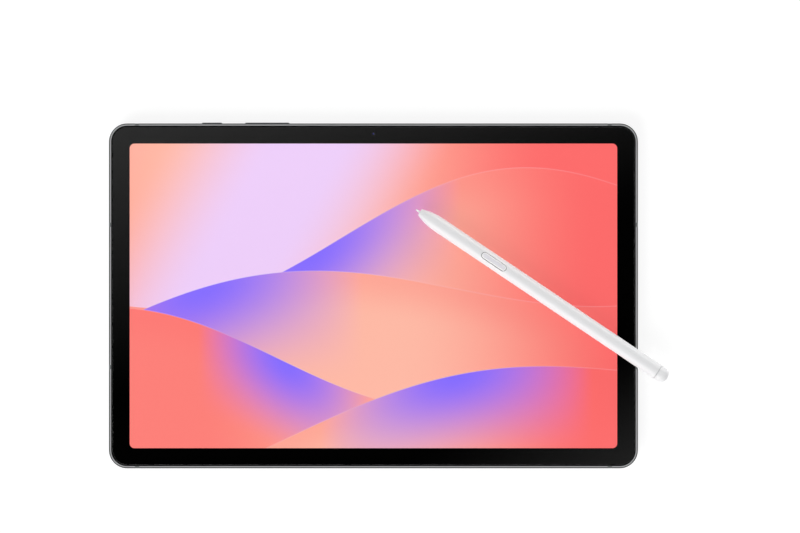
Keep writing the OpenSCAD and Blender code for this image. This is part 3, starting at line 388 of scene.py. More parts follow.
ringMetal = turnedMetal()
dress(ringMetal, "rear_camera_ring")
print("shell dressed")


# moulded plastics

plastics = {
    # name: colour, roughness, size and strength of the moulded grain, gloss, nodes
    "antennaStripPlastic": {
        "colour": (0.150, 0.157, 0.160), "rough": 0.44, "grain": 3600.0, "tint": 0.14, "gloss": 0.4,
        "nodes": ["left_antenna_strip", "right_antenna_strip"]},
    "speakerBoxPlastic": {
        "colour": (0.022, 0.022, 0.023), "rough": 0.55, "grain": 1500.0, "tint": 0.3, "gloss": 0.35,
        "nodes": ["left_speaker", "right_speaker"]},
    "cameraBodyPlastic": {
        "colour": (0.005, 0.005, 0.005), "rough": 0.6, "grain": 3000.0, "tint": 0.4, "gloss": 0.1,
        "nodes": ["rear_camera_body", "front_camera_body"]},
    "contactBlockPlastic": {
        "colour": (0.030, 0.031, 0.032), "rough": 0.48, "grain": 2600.0, "tint": 0.2, "gloss": 0.4,
        "nodes": ["keyboard_contact_block", "usb_tongue"]},
    "graphiteSheetBlack": {
        "colour": (0.040, 0.040, 0.043), "rough": 0.38, "grain": 700.0, "tint": 0.5, "gloss": 0.6,
        "nodes": ["heat_spreader"]},
    "ferriteCoreBlack": {
        "colour": (0.050, 0.048, 0.047), "rough": 0.62, "grain": 5200.0, "tint": 0.5, "gloss": 0.4,
        "nodes": ["pen_ferrite"]},
    "gasketFoamBlack": {
        "colour": (0.003, 0.003, 0.003), "rough": 0.9, "grain": 4200.0, "tint": 0.8, "gloss": 0.0,
        "nodes": ["display_adhesive"]},
    "traySealSilicone": {
        "colour": (0.05, 0.05, 0.052), "rough": 0.5, "grain": 1900.0, "tint": 0.2, "gloss": 0.4,
        "nodes": ["card_tray_seal"]},
}


def mouldedPlastic(name, look):
    # moulded skin: one fine grain for colour, roughness and height, worn smoother by handling
    sheet = newMaterial(name)
    grain = sheet.group(fineGrain, Scale=look["grain"], Tint=look["tint"])
    marks = sheet.group(handlingMarks, Amount=0.5)["Mask"]
    sheet.put("Base Color", sheet.shaded(look["colour"], grain["Shade"]))
    sheet.put("Specular IOR Level", look["gloss"])
    rough = (grain["Height"] - 0.5) * 0.2 + look["rough"]
    sheet.put("Roughness", rough - marks * 0.08)
    sheet.put("Normal", sheet.bump(grain["Height"], 0.25, 0.000006))
    return sheet.material


for name, look in plastics.items():
    dress(mouldedPlastic(name, look), *look["nodes"])


# rolled and plated metals

metals = {
    # name: colour, roughness, strength of the rolling streaks, vent holes if any, nodes
    "rolledTraySteel": {
        "colour": (0.62, 0.63, 0.65), "rough": 0.30, "streak": 0.25, "nodes": ["backlight_tray"]},
    "stampedPlateSteel": {
        "colour": (0.48, 0.49, 0.50), "rough": 0.36, "streak": 0.35,
        "nodes": ["mid_plate", "key_bracket", "eject_lever", "card_reader"]},
    "tinnedCanSteel": {
        "colour": (0.68, 0.68, 0.67), "rough": 0.28, "streak": 0.2, "holePitch": 0.0022,
        "holeSize": 0.00042, "nodes": ["shield_cans", "pen_pressure_sensor"]},
    "usbShellSteel": {
        "colour": (0.55, 0.56, 0.58), "rough": 0.24, "streak": 0.2, "nodes": ["usb_shell"]},
    "blackedScrewSteel": {
        "colour": (0.10, 0.10, 0.11), "rough": 0.34, "streak": 0.3,
        "nodes": ["mid_plate_screws", "main_board_screws"]},
    "nickelMagnet": {
        "colour": (0.66, 0.64, 0.60), "rough": 0.22, "streak": 0.12, "nodes": ["cover_magnets"]},
    "goldPlating": {
        "colour": (0.93, 0.68, 0.30), "rough": 0.20, "streak": 0.1,
        "nodes": ["keyboard_contact_pins", "microphones"]},
    "meshSteel": {"colour": (0.20, 0.205, 0.21), "rough": 0.40, "streak": 0.15, "nodes": []},
}


def rolledMetal(name, look):
    # streaks along X from rolling, small scuffs, and on cans a grid of small vent holes, each
    # pressed in by the bump and painted near black as painted shade
    sheet = newMaterial(name)
    streak = sheet.noise(sheet.moved((0, 0, 0), 0.0, (60.0, 5200.0, 5200.0)), 1.0, 3.0)
    marks = sheet.group(handlingMarks, Amount=1.0)["Mask"]
    shade = (streak - 0.5) * look["streak"] + 1.0
    colour = sheet.shaded(look["colour"], shade)
    height = streak
    if "holePitch" in look:
        holeDentAndShade = sheet.group(dotField, Pitch=look["holePitch"], Size=look["holeSize"])["Mask"]
        # painted shade: each vent hole is painted near black
        colour = sheet.mix(holeDentAndShade * 0.85, colour, grey(0.02))
        height = streak - holeDentAndShade * 3.0
    sheet.put("Base Color", colour)
    sheet.put("Metallic", 1.0)
    rough = streak * (look["streak"] * 0.5) + look["rough"]
    sheet.put("Roughness", rough + marks * 0.1)
    sheet.put("Normal", sheet.bump(height, 0.2, 0.000006))
    return sheet.material


metalFinish = {name: rolledMetal(name, look) for name, look in metals.items()}
for name, look in metals.items():
    dress(metalFinish[name], *look["nodes"])
print("plastics and metals dressed")


# boards, flexes and chips

boardLook = {"mask": (0.010, 0.030, 0.042), "trace": (0.024, 0.066, 0.080),
             "pad": (0.80, 0.58, 0.26), "cell": 0.0042, "pitch": 0.0006, "padPitch": 0.0014,
             "padSize": 0.00022}


def boardFinish():
    # solder mask over copper: in each square cell the traces run along or across, at random
    sheet = newMaterial("boardSolderMask")
    x, y, _ = sheet.axes()
    cell = [sheet.math("FLOOR", v * (1.0 / boardLook["cell"])) for v in (x, y)]
    chance = sheet.read("ShaderNodeTexWhiteNoise", {"Vector": sheet.point(*cell)},
                        noise_dimensions="2D")["Value"]
    pick = sheet.step(chance, 0.49, 0.51)
    along, across = (sheet.group(lineField, Pitch=boardLook["pitch"], Fill=0.4, Turn=turn)["Mask"]
                     for turn in (0.0, math.pi / 2))
    busy = sheet.step(chance, 0.2, 0.22)
    lines = busy * (pick * along + (1.0 - pick) * across)
    dots = sheet.group(dotField, Pitch=boardLook["padPitch"], Size=boardLook["padSize"])["Mask"]
    pads = dots * sheet.step(chance, 0.7, 0.72)
    colour = sheet.mix(lines, boardLook["mask"], boardLook["trace"])
    sheet.put("Base Color", sheet.mix(pads, colour, boardLook["pad"]))
    sheet.put("Metallic", pads)
    sheet.put("Roughness", 0.32)
    sheet.put("Normal", sheet.bump(sheet.most(lines, pads), 0.4, 0.00002))
    return sheet.material


flexLook = {"film": (0.42, 0.16, 0.035), "copper": (0.62, 0.30, 0.10), "pitch": 0.0004}


def flexFinish():
    # amber film over copper lines, a little wavy, with painted shade along its creases
    sheet = newMaterial("flexAmberFilm")
    lines = sheet.group(lineField, Pitch=flexLook["pitch"], Fill=0.55, Turn=0.0)
    creaseHeightAndShade = sheet.group(filmCreases, Scale=260.0)["Height"]
    colour = sheet.mix(lines["Mask"], flexLook["film"], flexLook["copper"])
    # painted shade: the colour is darker along the creases
    sheet.put("Base Color", sheet.shaded(colour, creaseHeightAndShade * 0.3 + 0.8))
    sheet.put("Metallic", lines["Mask"] * 0.6)
    sheet.put("Roughness", creaseHeightAndShade * 0.15 + 0.25)
    sheet.put("Normal", sheet.bump(lines["Height"] + creaseHeightAndShade, 0.3, 0.00001))
    return sheet.material


chipLook = {"colour": (0.016, 0.016, 0.018), "dot": (0.10, 0.10, 0.11), "pitch": 0.0035,
            "size": 0.00028}


def chipFinish():
    # black moulding compound with a faint pattern of marking dots
    sheet = newMaterial("chipMouldingBlack")
    grain = sheet.group(fineGrain, Scale=4200.0, Tint=0.5)
    dots = sheet.group(dotField, Pitch=chipLook["pitch"], Size=chipLook["size"])["Mask"]
    colour = sheet.mix(dots * 0.7, chipLook["colour"], chipLook["dot"])
    sheet.put("Base Color", sheet.shaded(colour, grain["Shade"]))
    sheet.put("Roughness", grain["Height"] * 0.25 + 0.4)
    sheet.put("Normal", sheet.bump(grain["Height"] - dots, 0.3, 0.00001))
    return sheet.material


dress(boardFinish(), "main_board", "port_board", "battery_circuit_board", "pen_board")
dress(flexFinish(), "display_flex", "battery_flex", "interconnect_flex", "key_switch_flex")
dress(chipFinish(), "processor", "memory_chips", "support_chips")

foils = {
    # name: colour, metallic, roughness, size of the creases, pitch and colour of a coil grid, nodes
    "batteryPouchFilm": {
        "colour": (0.34, 0.345, 0.35), "metal": 0.7, "rough": 0.34, "scale": 70.0,
        "nodes": ["battery_cells"]},
    "digitizerGridFoil": {
        "colour": (0.060, 0.085, 0.065), "metal": 0.2, "rough": 0.42, "scale": 40.0, "grid": 0.0024,
        "copper": (0.52, 0.27, 0.11), "nodes": ["digitizer_sheet"]},
}


def foilFinish(name, look):
    # thin sheet with soft creases and painted shade along them, and where it holds a coil grid,
    # copper lines both ways
    sheet = newMaterial(name)
    creaseHeightAndShade = sheet.group(filmCreases, Scale=look["scale"])["Height"]
    # painted shade: the colour is darker along the creases
    colour = sheet.shaded(look["colour"], creaseHeightAndShade * 0.35 + 0.8)
    if "grid" in look:
        ways = [sheet.group(lineField, Pitch=look["grid"], Fill=0.2, Turn=turn)["Mask"]
                for turn in (0.0, math.pi / 2)]
        colour = sheet.mix(sheet.most(*ways), colour, look["copper"])
    sheet.put("Base Color", colour)
    sheet.put("Metallic", look["metal"])
    sheet.put("Roughness", creaseHeightAndShade * 0.12 + look["rough"])
    sheet.put("Normal", sheet.bump(creaseHeightAndShade, 0.35, 0.00005))
    return sheet.material


for name, look in foils.items():
    dress(foilFinish(name, look), *look["nodes"])

barLook = {"pitch": 0.0032, "strip": (0.75, 0.74, 0.68), "phosphor": (0.92, 0.72, 0.12)}


def ledBar():
    # white strip with a yellow phosphor square on each lamp
    sheet = newMaterial("ledBarPhosphor")
    squares = sheet.group(lineField, Pitch=barLook["pitch"], Fill=0.45, Turn=0.0)["Mask"]
    grain = sheet.group(fineGrain, Scale=3000.0, Tint=0.2)
    colour = sheet.mix(squares, barLook["strip"], barLook["phosphor"])
    sheet.put("Base Color", sheet.shaded(colour, grain["Shade"]))
    sheet.put("Roughness", grain["Height"] * 0.2 + 0.35)
    return sheet.material


guideLook = {"pitch": 0.0012, "size": 0.0003, "clear": grey(0.86), "dot": grey(0.97),
             "through": 0.7, "ior": 1.49}


def lightGuide():
    # clear acrylic with a grid of tiny moulded dots that turn light upwards
    sheet = newMaterial("lightGuideAcrylic")
    dots = sheet.group(dotField, Pitch=guideLook["pitch"], Size=guideLook["size"])["Mask"]
    sheet.put("Base Color", sheet.mix(dots, guideLook["clear"], guideLook["dot"]))
    sheet.put("Transmission Weight", guideLook["through"])
    sheet.put("IOR", guideLook["ior"])
    sheet.put("Roughness", dots * 0.35 + 0.08)
    sheet.put("Normal", sheet.bump(dots, 0.3, 0.00002))
    return sheet.material


dress(ledBar(), "backlight_leds")
dress(lightGuide(), "light_guide")
print("inner parts dressed")


# cover glass, border print and lit screen

screenHalf = boxOf("lcd_cell")[1] - 1.9 * mm  # the lit picture ends inside the edge of the cell
screenLook = {"halfX": float(screenHalf[0]), "halfY": float(screenHalf[1]), "corner": 0.0024,
              "seam": 0.0006, "seamInk": grey(0.0), "ink": grey(0.0006), "dots": 11000.0,
              "dotShade": 0.02, "glow": 0.78, "body": 0.35, "heldBack": 0.6}


def clearGlass(name, ior):
    # hard glass that lets light through to what lies under it, with faint wipe marks in its gloss
    sheet = newMaterial(name)
    marks = sheet.group(handlingMarks, Amount=1.0)["Mask"]
    sheet.put("Base Color", grey(1.0))
    sheet.put("Transmission Weight", 1.0)
    sheet.put("IOR", ior)
    sheet.put("Roughness", marks * 0.012)
    path = sheet.read("ShaderNodeLightPath")
    sheet.clearWhere(sheet.most(path["Is Shadow Ray"], path["Is Diffuse Ray"]))
    return sheet.material


def borderPrint():
    # black ink, blacker in a thin line next to the picture
    sheet = newMaterial("blackBorderPrint")
    away = sheet.fromRounded(screenLook["halfX"], screenLook["halfY"], screenLook["corner"])
    inked = sheet.step(away, screenLook["seam"] * 0.8, screenLook["seam"])
    grain = sheet.group(fineGrain, Scale=9000.0, Tint=0.3)
    ink = sheet.mix(inked, screenLook["seamInk"], screenLook["ink"])
    sheet.put("Base Color", sheet.shaded(ink, grain["Shade"]))
    sheet.put("Roughness", 0.9)
    sheet.put("Specular IOR Level", 0.0)
    return sheet.material


tones = {"peach": srgb(255, 186, 166), "coral": srgb(253, 108, 107), "violet": srgb(134, 110, 255),
         "lilac": srgb(236, 208, 255), "line": srgb(255, 236, 252)}
bands = [
    # edge: y = start + swing sin(waves x + phase) + tilt x
    # glow: its depth, where it is strongest and how far it spreads; warm: shift of the ground
    {"start": 0.40, "swing": 0.36, "waves": 2.3, "phase": 0.3, "tilt": 0.14,
     "glow": 0.80, "at": -0.26, "spread": 0.62, "warm": 0.12},
    {"start": -0.04, "swing": 0.30, "waves": 1.9, "phase": 2.5, "tilt": 0.26,
     "glow": 0.80, "at": -0.70, "spread": 0.66, "warm": -0.02},
    {"start": -0.48, "swing": 0.22, "waves": 2.7, "phase": 4.2, "tilt": -0.18,
     "glow": 0.62, "at": -0.36, "spread": 0.36, "warm": -0.62},
    {"start": -0.84, "swing": 0.22, "waves": 2.1, "phase": 0.8, "tilt": 0.30,
     "glow": 0.62, "at": 0.34, "spread": 0.56, "warm": 0.10},
]


def wavePicture(sheet):
    # flowing bands of light, each with a wavy edge and a violet glow under part of it
    x, y, _ = sheet.axes()
    u = x * (1.0 / screenLook["halfX"])
    v = y * (1.0 / screenLook["halfY"])

    def ground(shift):
        # peach in the middle, coral at both ends and more so on the right
        side = u + shift
        warm = sheet.most(sheet.step(side, 0.08, 1.05), sheet.step(side, -0.4, -1.35, 0.0, 0.8))
        return sheet.mix(warm, tones["peach"], tones["coral"])

    slant = u + v * -0.35 + 0.62
    pale = sheet.step(abs(slant), 0.62, 0.12) * 0.92
    colour = sheet.mix(pale, ground(0.3), tones["lilac"])
    for band in bands:
        wave = sheet.math("SINE", u * band["waves"] + band["phase"])
        edge = wave * band["swing"] + band["start"] + u * band["tilt"]
        depth = edge - v
        inside = sheet.step(depth, -0.002, 0.003)
        reach = sheet.step(abs(u - band["at"]), band["spread"], 0.0)
        glow = sheet.step(depth, band["glow"], 0.0) * reach ** 0.6
        lift = sheet.step(depth, 0.3, 0.0) * (1.0 - glow) * 0.3
        tone = sheet.mix(lift, ground(band["warm"]), tones["coral"])
        colour = sheet.mix(inside, colour, sheet.mix(glow, tone, tones["violet"]))
        line = sheet.step(depth, 0.008, 0.0) * sheet.step(depth, -0.004, 0.0)
        colour = sheet.mix(line * 0.12, colour, tones["line"])
    return colour


def litScreen():
    # the cell glows with the picture, more to the eye than onto what lies on it, and takes a little
    # light and shade from the room
    sheet = newMaterial("litScreenPicture")
    away = sheet.fromRounded(screenLook["halfX"], screenLook["halfY"], screenLook["corner"])
    lit = sheet.step(away, 0.0, -0.00012)
    values = {"Vector": sheet.place(), "Scale": screenLook["dots"]}
    dots = sheet.read("ShaderNodeTexChecker", values)["Fac"]
    dimmed = sheet.mix(dots * screenLook["dotShade"], wavePicture(sheet), grey(0.0))
    shown = sheet.mix(lit, grey(0.0), dimmed)
    sheet.put("Base Color", sheet.mix(1.0, shown, grey(screenLook["body"]), "MULTIPLY"))
    sheet.put("Roughness", 0.6)
    sheet.put("Specular IOR Level", 0.0)
    bounced = sheet.read("ShaderNodeLightPath")["Is Diffuse Ray"]
    sheet.put("Emission Color", sheet.mix(bounced * screenLook["heldBack"], shown, grey(0.0)))
    sheet.put("Emission Strength", screenLook["glow"])
    # bounced rays find its light by themselves, and the lamps get all the samples
    sheet.material.cycles.emission_sampling = "NONE"
    return sheet.material


dress(clearGlass("clearCoverGlass", 1.47), "cover_glass")
dress(clearGlass("coatedCameraWindow", 1.25), "rear_camera_window")
inkPrint = borderPrint()
dress(inkPrint, "border_mask")
dress(litScreen(), "lcd_cell")
print("display dressed")


# camera lenses

lensLook = {"reflectedBlue": (0.020, 0.022, 0.42), "deep": (0.003, 0.003, 0.012), "rearSpot": 0.0006,
            "frontSpot": 0.00042, "barrel": grey(0.012), "ridge": 0.00022}


def coatedLens(name, centre, spot):
    # dark coated glass with a painted blue reflection of its coating in a small spot at its middle
    # and in faint rings, which are a sine of the radius
    sheet = newMaterial(name)
    x, y, _ = sheet.axes(sheet.moved(centre))
    radius = sheet.size(x, y)
    wave = sheet.math("SINE", radius * (2 * math.pi / (spot * 1.3)))
    # painted reflection: blue in the middle spot and in the faint rings
    reflectedRings = (wave + 1.0) * 0.04
    mask = sheet.step(radius, spot, spot * 0.3) + reflectedRings
    sheet.put("Base Color", sheet.mix(mask, lensLook["deep"], lensLook["reflectedBlue"]))
    sheet.put("Specular IOR Level", 0.6)
    sheet.put("Coat Weight", 0.5)
    sheet.put("Coat Roughness", 0.03)
    marks = sheet.group(handlingMarks, Amount=0.5)["Mask"]
    sheet.put("Roughness", marks * 0.05 + 0.05)
    return sheet.material


def ridgedBarrel():
    # black barrel with stepped ridges against stray light
    sheet = newMaterial("ridgedBarrelBlack")
    x, y, _ = sheet.axes(sheet.moved(cameraSpot))
    ridge = sheet.math("FRACT", sheet.size(x, y) * (1.0 / lensLook["ridge"]))
    grain = sheet.group(fineGrain, Scale=5000.0, Tint=0.3)
    sheet.put("Base Color", sheet.shaded(lensLook["barrel"], grain["Shade"]))
    sheet.put("Roughness", grain["Height"] * 0.2 + 0.45)
    sheet.put("Normal", sheet.bump(ridge, 0.5, 0.00004))
    return sheet.material


dress(coatedLens("coatedRearLens", cameraSpot, lensLook["rearSpot"]), "rear_lens_glass")
frontLens = coatedLens("coatedFrontLens", middleOf("front_camera_lens"), lensLook["frontSpot"])
dress(frontLens, "front_camera_lens")
dress(ridgedBarrel(), "rear_lens_barrel")


# pen

penLook = {"white": (0.86, 0.862, 0.87), "rough": 0.40,
           "nib": (0.84, 0.845, 0.85), "nibRough": 0.45,
           "border": (0.96, 0.96, 0.965), "panel": (0.82, 0.805, 0.85),
           "seamWidth": 0.00018, "seamShade": 0.62,
           "enamel": (0.12, 0.045, 0.015), "wire": (0.72, 0.33, 0.14), "wirePitch": 0.00016}
buttonSize = {"length": 13.46 * mm, "width": 2.87 * mm, "barrel": 3.95 * mm, "depth": 1.1 * mm,
              "edge": 0.22 * mm, "border": 0.50 * mm, "dish": 0.07 * mm, "dishEdge": 0.3 * mm,
              "aside": 0.08 * mm, "dotPitch": 0.62 * mm, "dot": 0.15 * mm, "dotRise": 0.03 * mm,
              "rowPitch": 0.465 * mm, "perRow": 18}
# the button lies a little to one side in its slot
buttonSpot = middleOf("pen_button") + buttonSize["aside"] * penAcross


def farthestAlongPen(name):
    # how far a node reaches along the pen's axis, tip to tail, measured on its points
    mesh = nodes[name].data
    points = np.empty(len(mesh.vertices) * 3)
    mesh.vertices.foreach_get("co", points)
    return float((points.reshape(-1, 3) @ penAxis).max())


def satinPlastic(name, colour, rough):
    # satin shell: grain finer than a hair, slow streaks along the pen from moulding, and a painted
    # shade where barrel and end cap meet
    sheet = newMaterial(name)
    grain = sheet.group(fineGrain, Scale=7000.0, Tint=0.03)
    flow = sheet.noise(sheet.moved((0, 0, 0), penTurn, (30.0, 700.0, 700.0)), 1.0, 2.0)
    along, _, _ = sheet.axes(sheet.moved((0, 0, 0), penTurn))
    fromSeam = abs(along - farthestAlongPen("pen_barrel"))
    width = penLook["seamWidth"]
    # painted shade: darker in a thin band at the seam
    seam = sheet.step(fromSeam, width * 0.4, width, penLook["seamShade"], 1.0)
    shade = seam * (grain["Shade"] + (flow - 0.5) * 0.02)
    sheet.put("Base Color", sheet.shaded(colour, shade))
    sheet.put("Roughness", grain["Height"] * 0.1 + (rough - 0.05))
    sheet.put("Normal", sheet.bump(grain["Height"], 0.12, 0.000003))
    return sheet.material


def buttonPlastic():
    # pale border, and a greyer panel inside it
    sheet = newMaterial("penButtonPlastic")
    half = buttonSize["width"] / 2
    spot = sheet.moved(buttonSpot, penTurn)
    away = sheet.fromRounded(buttonSize["length"] / 2, half, half - 1e-6, spot)
    panel = sheet.step(away, -buttonSize["border"], -buttonSize["border"] * 1.4)
    grain = sheet.group(fineGrain, Scale=6000.0, Tint=0.06)
    colour = sheet.mix(panel, penLook["border"], penLook["panel"])
    sheet.put("Base Color", sheet.shaded(colour, grain["Shade"]))
    sheet.put("Roughness", grain["Height"] * 0.12 + 0.36)
    sheet.put("Normal", sheet.bump(grain["Height"], 0.15, 0.000004))
    return sheet.material


def copperWinding():
    # enamelled wire wound side by side round the core: lines across the pen
    sheet = newMaterial("copperCoilWire")
    wire = sheet.group(lineField, Pitch=penLook["wirePitch"], Fill=0.85, Turn=penTurn)
    sheet.put("Base Color", sheet.mix(wire["Mask"], penLook["enamel"], penLook["wire"]))
    sheet.put("Metallic", 0.9)
    sheet.put("Roughness", wire["Height"] * -0.1 + 0.38)
    sheet.put("Normal", sheet.bump(wire["Height"], 0.6, 0.00006))
    return sheet.material


penWhite = satinPlastic("penWhiteSatin", penLook["white"], penLook["rough"])
dress(penWhite, "pen_barrel", "pen_end_cap")
dress(satinPlastic("penNibPlastic", penLook["nib"], penLook["nibRough"]), "pen_nib")
buttonFinish = buttonPlastic()
dress(buttonFinish, "pen_button")
dress(copperWinding(), "pen_coil")
print("pen dressed")


# fine parts, worked out as grids of points

def gridFaces(rows, columns, wrapRows, wrapColumns):
    # quads between the neighbours of a grid
    r = np.arange(rows if wrapRows else rows - 1)
    c = np.arange(columns if wrapColumns else columns - 1)
    r, c = np.meshgrid(r, c, indexing="ij")
    nextR, nextC = (r + 1) % rows, (c + 1) % columns
    quads = [r * columns + c, r * columns + nextC, nextR * columns + nextC, nextR * columns + c]
    return np.stack(quads, -1).reshape(-1, 4)


def makePiece(name, grids, material, body, wrapRows=False, wrapColumns=True, sharp=35.0):
    # joins grids of points into one mesh, welds poles and seams and points the faces outwards
    points, faces, count = [], [], 0
    for grid in grids:
        faces.append(gridFaces(grid.shape[0], grid.shape[1], wrapRows, wrapColumns) + count)
        points.append(grid.reshape(-1, 3))
        count += grid.shape[0] * grid.shape[1]
    mesh = bpy.data.meshes.new(name)
    mesh.from_pydata(np.concatenate(points).tolist(), [], np.concatenate(faces).tolist())
    work = bmesh.new()
    work.from_mesh(mesh)
    bmesh.ops.remove_doubles(work, verts=work.verts, dist=2e-7)
    bmesh.ops.recalc_face_normals(work, faces=work.faces)
    work.to_mesh(mesh)
    work.free()
    mesh.polygons.foreach_set("use_smooth", np.ones(len(mesh.polygons), dtype=bool))
    mesh.set_sharp_from_angle(angle=math.radians(sharp))
    mesh.materials.append(material)
    piece = bpy.data.objects.new(name, mesh)
    bpy.context.scene.collection.objects.link(piece)
    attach(piece, body)
    print("piece", name, len(mesh.polygons), "faces")
    return piece


def turned(profile, centre, right=(1, 0, 0), up=(0, 1, 0), count=72):
    # a profile of (radius, height) carried round its axis:
    # r cos t along right, r sin t along up, h along the third
    right, up, centre = np.array(right, float), np.array(up, float), np.array(centre, float)
    along = np.cross(right, up)
    t = np.linspace(0, 2 * math.pi, count, endpoint=False)
    r, h = (np.array(profile, float)[:, i, None, None] for i in (0, 1))
    ring = np.cos(t)[None, :, None] * right + np.sin(t)[None, :, None] * up
    return centre + r * ring + h * along


def roundedOutline(length, width, radius, inset, perCorner=7):
    # rounded rectangle moved inwards: each corner is a quarter circle of radius minus inset
    # about its own centre
    t = np.linspace(0, math.pi / 2, perCorner)
    arcs = []
    for k, (sx, sy) in enumerate(((1, 1), (-1, 1), (-1, -1), (1, -1))):
        turn = t + k * math.pi / 2
        centre = np.array([sx * (length / 2 - radius), sy * (width / 2 - radius)])
        arcs.append(centre + (radius - inset) * np.stack([np.cos(turn), np.sin(turn)], -1))
    return np.concatenate(arcs)


def padGrid(centre, length, width, height, radius, edge, along, across):
    # raised pad: bottom middle, outline, side, quarter-round edge, top middle
    along, across = np.array(along, float), np.array(across, float)
    out = np.cross(along, across)
    bend = np.linspace(0, math.pi / 2, 4)
    insets = np.concatenate([[0.0], edge * (1 - np.cos(bend)), [edge]])
    levels = np.concatenate([[0.0], height - edge + edge * np.sin(bend), [height]])
    rows = []
    for k, (inset, level) in enumerate(zip(insets, levels)):
        flat = roundedOutline(length, width, radius, inset) * (0.0 if k == len(insets) - 1 else 1.0)
        rows.append(flat[:, :1] * along + flat[:, 1:] * across + level * out)
    return np.array([rows[0] * 0.0] + rows) + np.array(centre, float)


buttonOrigin = np.array([*buttonSpot[:2], boxOf("pen_button")[1][2] - buttonSize["barrel"]])


def penButtonCap():
    # pill outline moved inwards step by step; its height follows the barrel's round, with a
    # quarter-round edge, a flat border and a shallow dish: z = sqrt(R^2 - y^2) - edge drop - dish
    size, half, edge = buttonSize, buttonSize["width"] / 2, buttonSize["edge"]
    insets = np.concatenate([edge * (1 - np.cos(np.linspace(0, math.pi / 2, 5))),
                             np.linspace(size["border"], half, 12)])
    pills = np.array([roundedOutline(size["length"], size["width"], half, inset, 24)
                      for inset in insets])
    x, y = pills[..., 0], pills[..., 1]
    drop = edge - np.sqrt(edge ** 2 - np.maximum(edge - insets, 0) ** 2)
    inner = np.clip((insets - size["border"]) / size["dishEdge"], 0, 1)
    dish = size["dish"] * inner * inner * (3 - 2 * inner)
    z = np.sqrt(size["barrel"] ** 2 - y * y) - (drop + dish)[:, None]
    top = np.stack([x, y, z], -1)
    under = top[[-1, 0]]  # the middle of the underside and the foot of the wall
    under[..., 2] = size["barrel"] - size["depth"]
    local = np.concatenate([under, top])
    return buttonOrigin + local @ np.array([penAxis, penAcross, (0.0, 0.0, 1.0)])


def penButtonDots():
    # low domes on a staggered grid over the panel: a quarter circle turned about each dome's axis
    size, pitch = buttonSize, buttonSize["dotPitch"]
    bend = np.linspace(0, math.pi / 2, 4)
    profile = np.stack([size["dot"] * np.cos(bend), size["dotRise"] * np.sin(bend)], -1)
    profile = np.concatenate([[[size["dot"], -size["dotRise"]]], profile])
    grids = []
    for row in range(-1, 2):
        count = size["perRow"] - abs(row) % 2
        y = row * size["rowPitch"]
        z = math.sqrt(size["barrel"] ** 2 - y * y) - size["dish"]
        for k in range(count):
            x = (k - (count - 1) / 2) * pitch
            centre = buttonOrigin + x * penAxis + y * penAcross + np.array([0, 0, z])
            grids.append(turned(profile, centre, penAxis, penAcross, 10))
    return grids


cap = makePiece("pen_button_cap", [penButtonCap()], buttonFinish, "pen_button")
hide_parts("pen_button")
makePiece("pen_button_dots", penButtonDots(), buttonFinish, "pen_button")

weaveLook = {"wire": 0.055 * mm, "pitch": 0.42 * mm, "sway": 0.045 * mm, "thick": 0.15 * mm,
             "sides": 5, "perPitch": 4}


def wireGrid(start, direction, length, sway, phase):
    # a thin wire that goes over and under its neighbours:
    # sway times cos(pi s / pitch) away from its straight line
    look = weaveLook
    direction, sway = np.array(direction, float), np.array(sway, float)
    steps = max(int(round(length / look["pitch"])) * look["perPitch"], 4)
    s = np.linspace(0, length, steps + 1)
    wave = look["sway"] * np.cos(math.pi * s / look["pitch"] + phase)
    line = np.array(start, float) + s[:, None] * direction + wave[:, None] * sway
    t = np.linspace(0, 2 * math.pi, look["sides"], endpoint=False)
    side = np.cross(direction, sway)
    ring = np.cos(t)[:, None] * sway + np.sin(t)[:, None] * side
    tube = line[:, None, :] + look["wire"] * ring[None, :, :]
    ends = [np.repeat(line[i][None, None, :], look["sides"], axis=1) for i in (0, -1)]
    return np.concatenate([ends[0], tube, ends[1]])


def speakerWeave():
    # woven wire cloth behind the openings of each short side
    low, high = boxOf("speaker_meshes")
    pitch, thick = weaveLook["pitch"], weaveLook["thick"]
    wide, tall = high[1] - low[1], high[2] - low[2]
    grids = []
    for x in (low[0] + thick / 2, high[0] - thick / 2):
        for k in range(int(tall / pitch)):
            z = low[2] + (k + 0.5) * pitch
            grids.append(wireGrid((x, low[1], z), (0, 1, 0), wide, (1, 0, 0), math.pi * k))
        for k in range(int(wide / pitch)):
            y = low[1] + (k + 0.5) * pitch
            phase = math.pi * (k + 0.5) + math.pi / 2
            grids.append(wireGrid((x, y, low[2]), (0, 0, 1), tall, (1, 0, 0), phase))
    return grids


weave = makePiece("speaker_mesh_weave", speakerWeave(), metalFinish["meshSteel"], "tablet",
                  sharp=80.0)
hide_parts("speaker_meshes")

usbLook = {"count": 12, "pitch": 0.5 * mm, "wide": 0.28 * mm, "long": 3.4 * mm, "short": 2.6 * mm,
           "thick": 0.7 * mm, "fromTip": 0.35 * mm, "raise": 0.03 * mm, "corner": 0.08 * mm,
           "edge": 0.02 * mm, "longPads": (0, 3, 8, 11)}


def usbContacts():
    # gold pads on both faces of the tongue, the outer and power pads longer than the others
    look, tip, middle = usbLook, boxOf("usb_tongue")[1][0], middleOf("usb_tongue")
    grids = []
    for face in (1, -1):
        for k in range(look["count"]):
            length = look["long"] if k in look["longPads"] else look["short"]
            centre = (tip - look["fromTip"] - look["long"] + length / 2,
                      middle[1] + (k - (look["count"] - 1) / 2) * look["pitch"],
                      middle[2] + face * look["thick"] / 2)
            grids.append(padGrid(centre, length, look["wide"], look["raise"], look["corner"],
                                 look["edge"], (1, 0, 0), (0, face, 0)))
    return grids


makePiece("usb_contact_pads", usbContacts(), metalFinish["goldPlating"], "tablet")

contactLook = {"pitch": 5.0 * mm, "inner": 0.81 * mm, "outer": 1.02 * mm, "proud": 0.03 * mm}


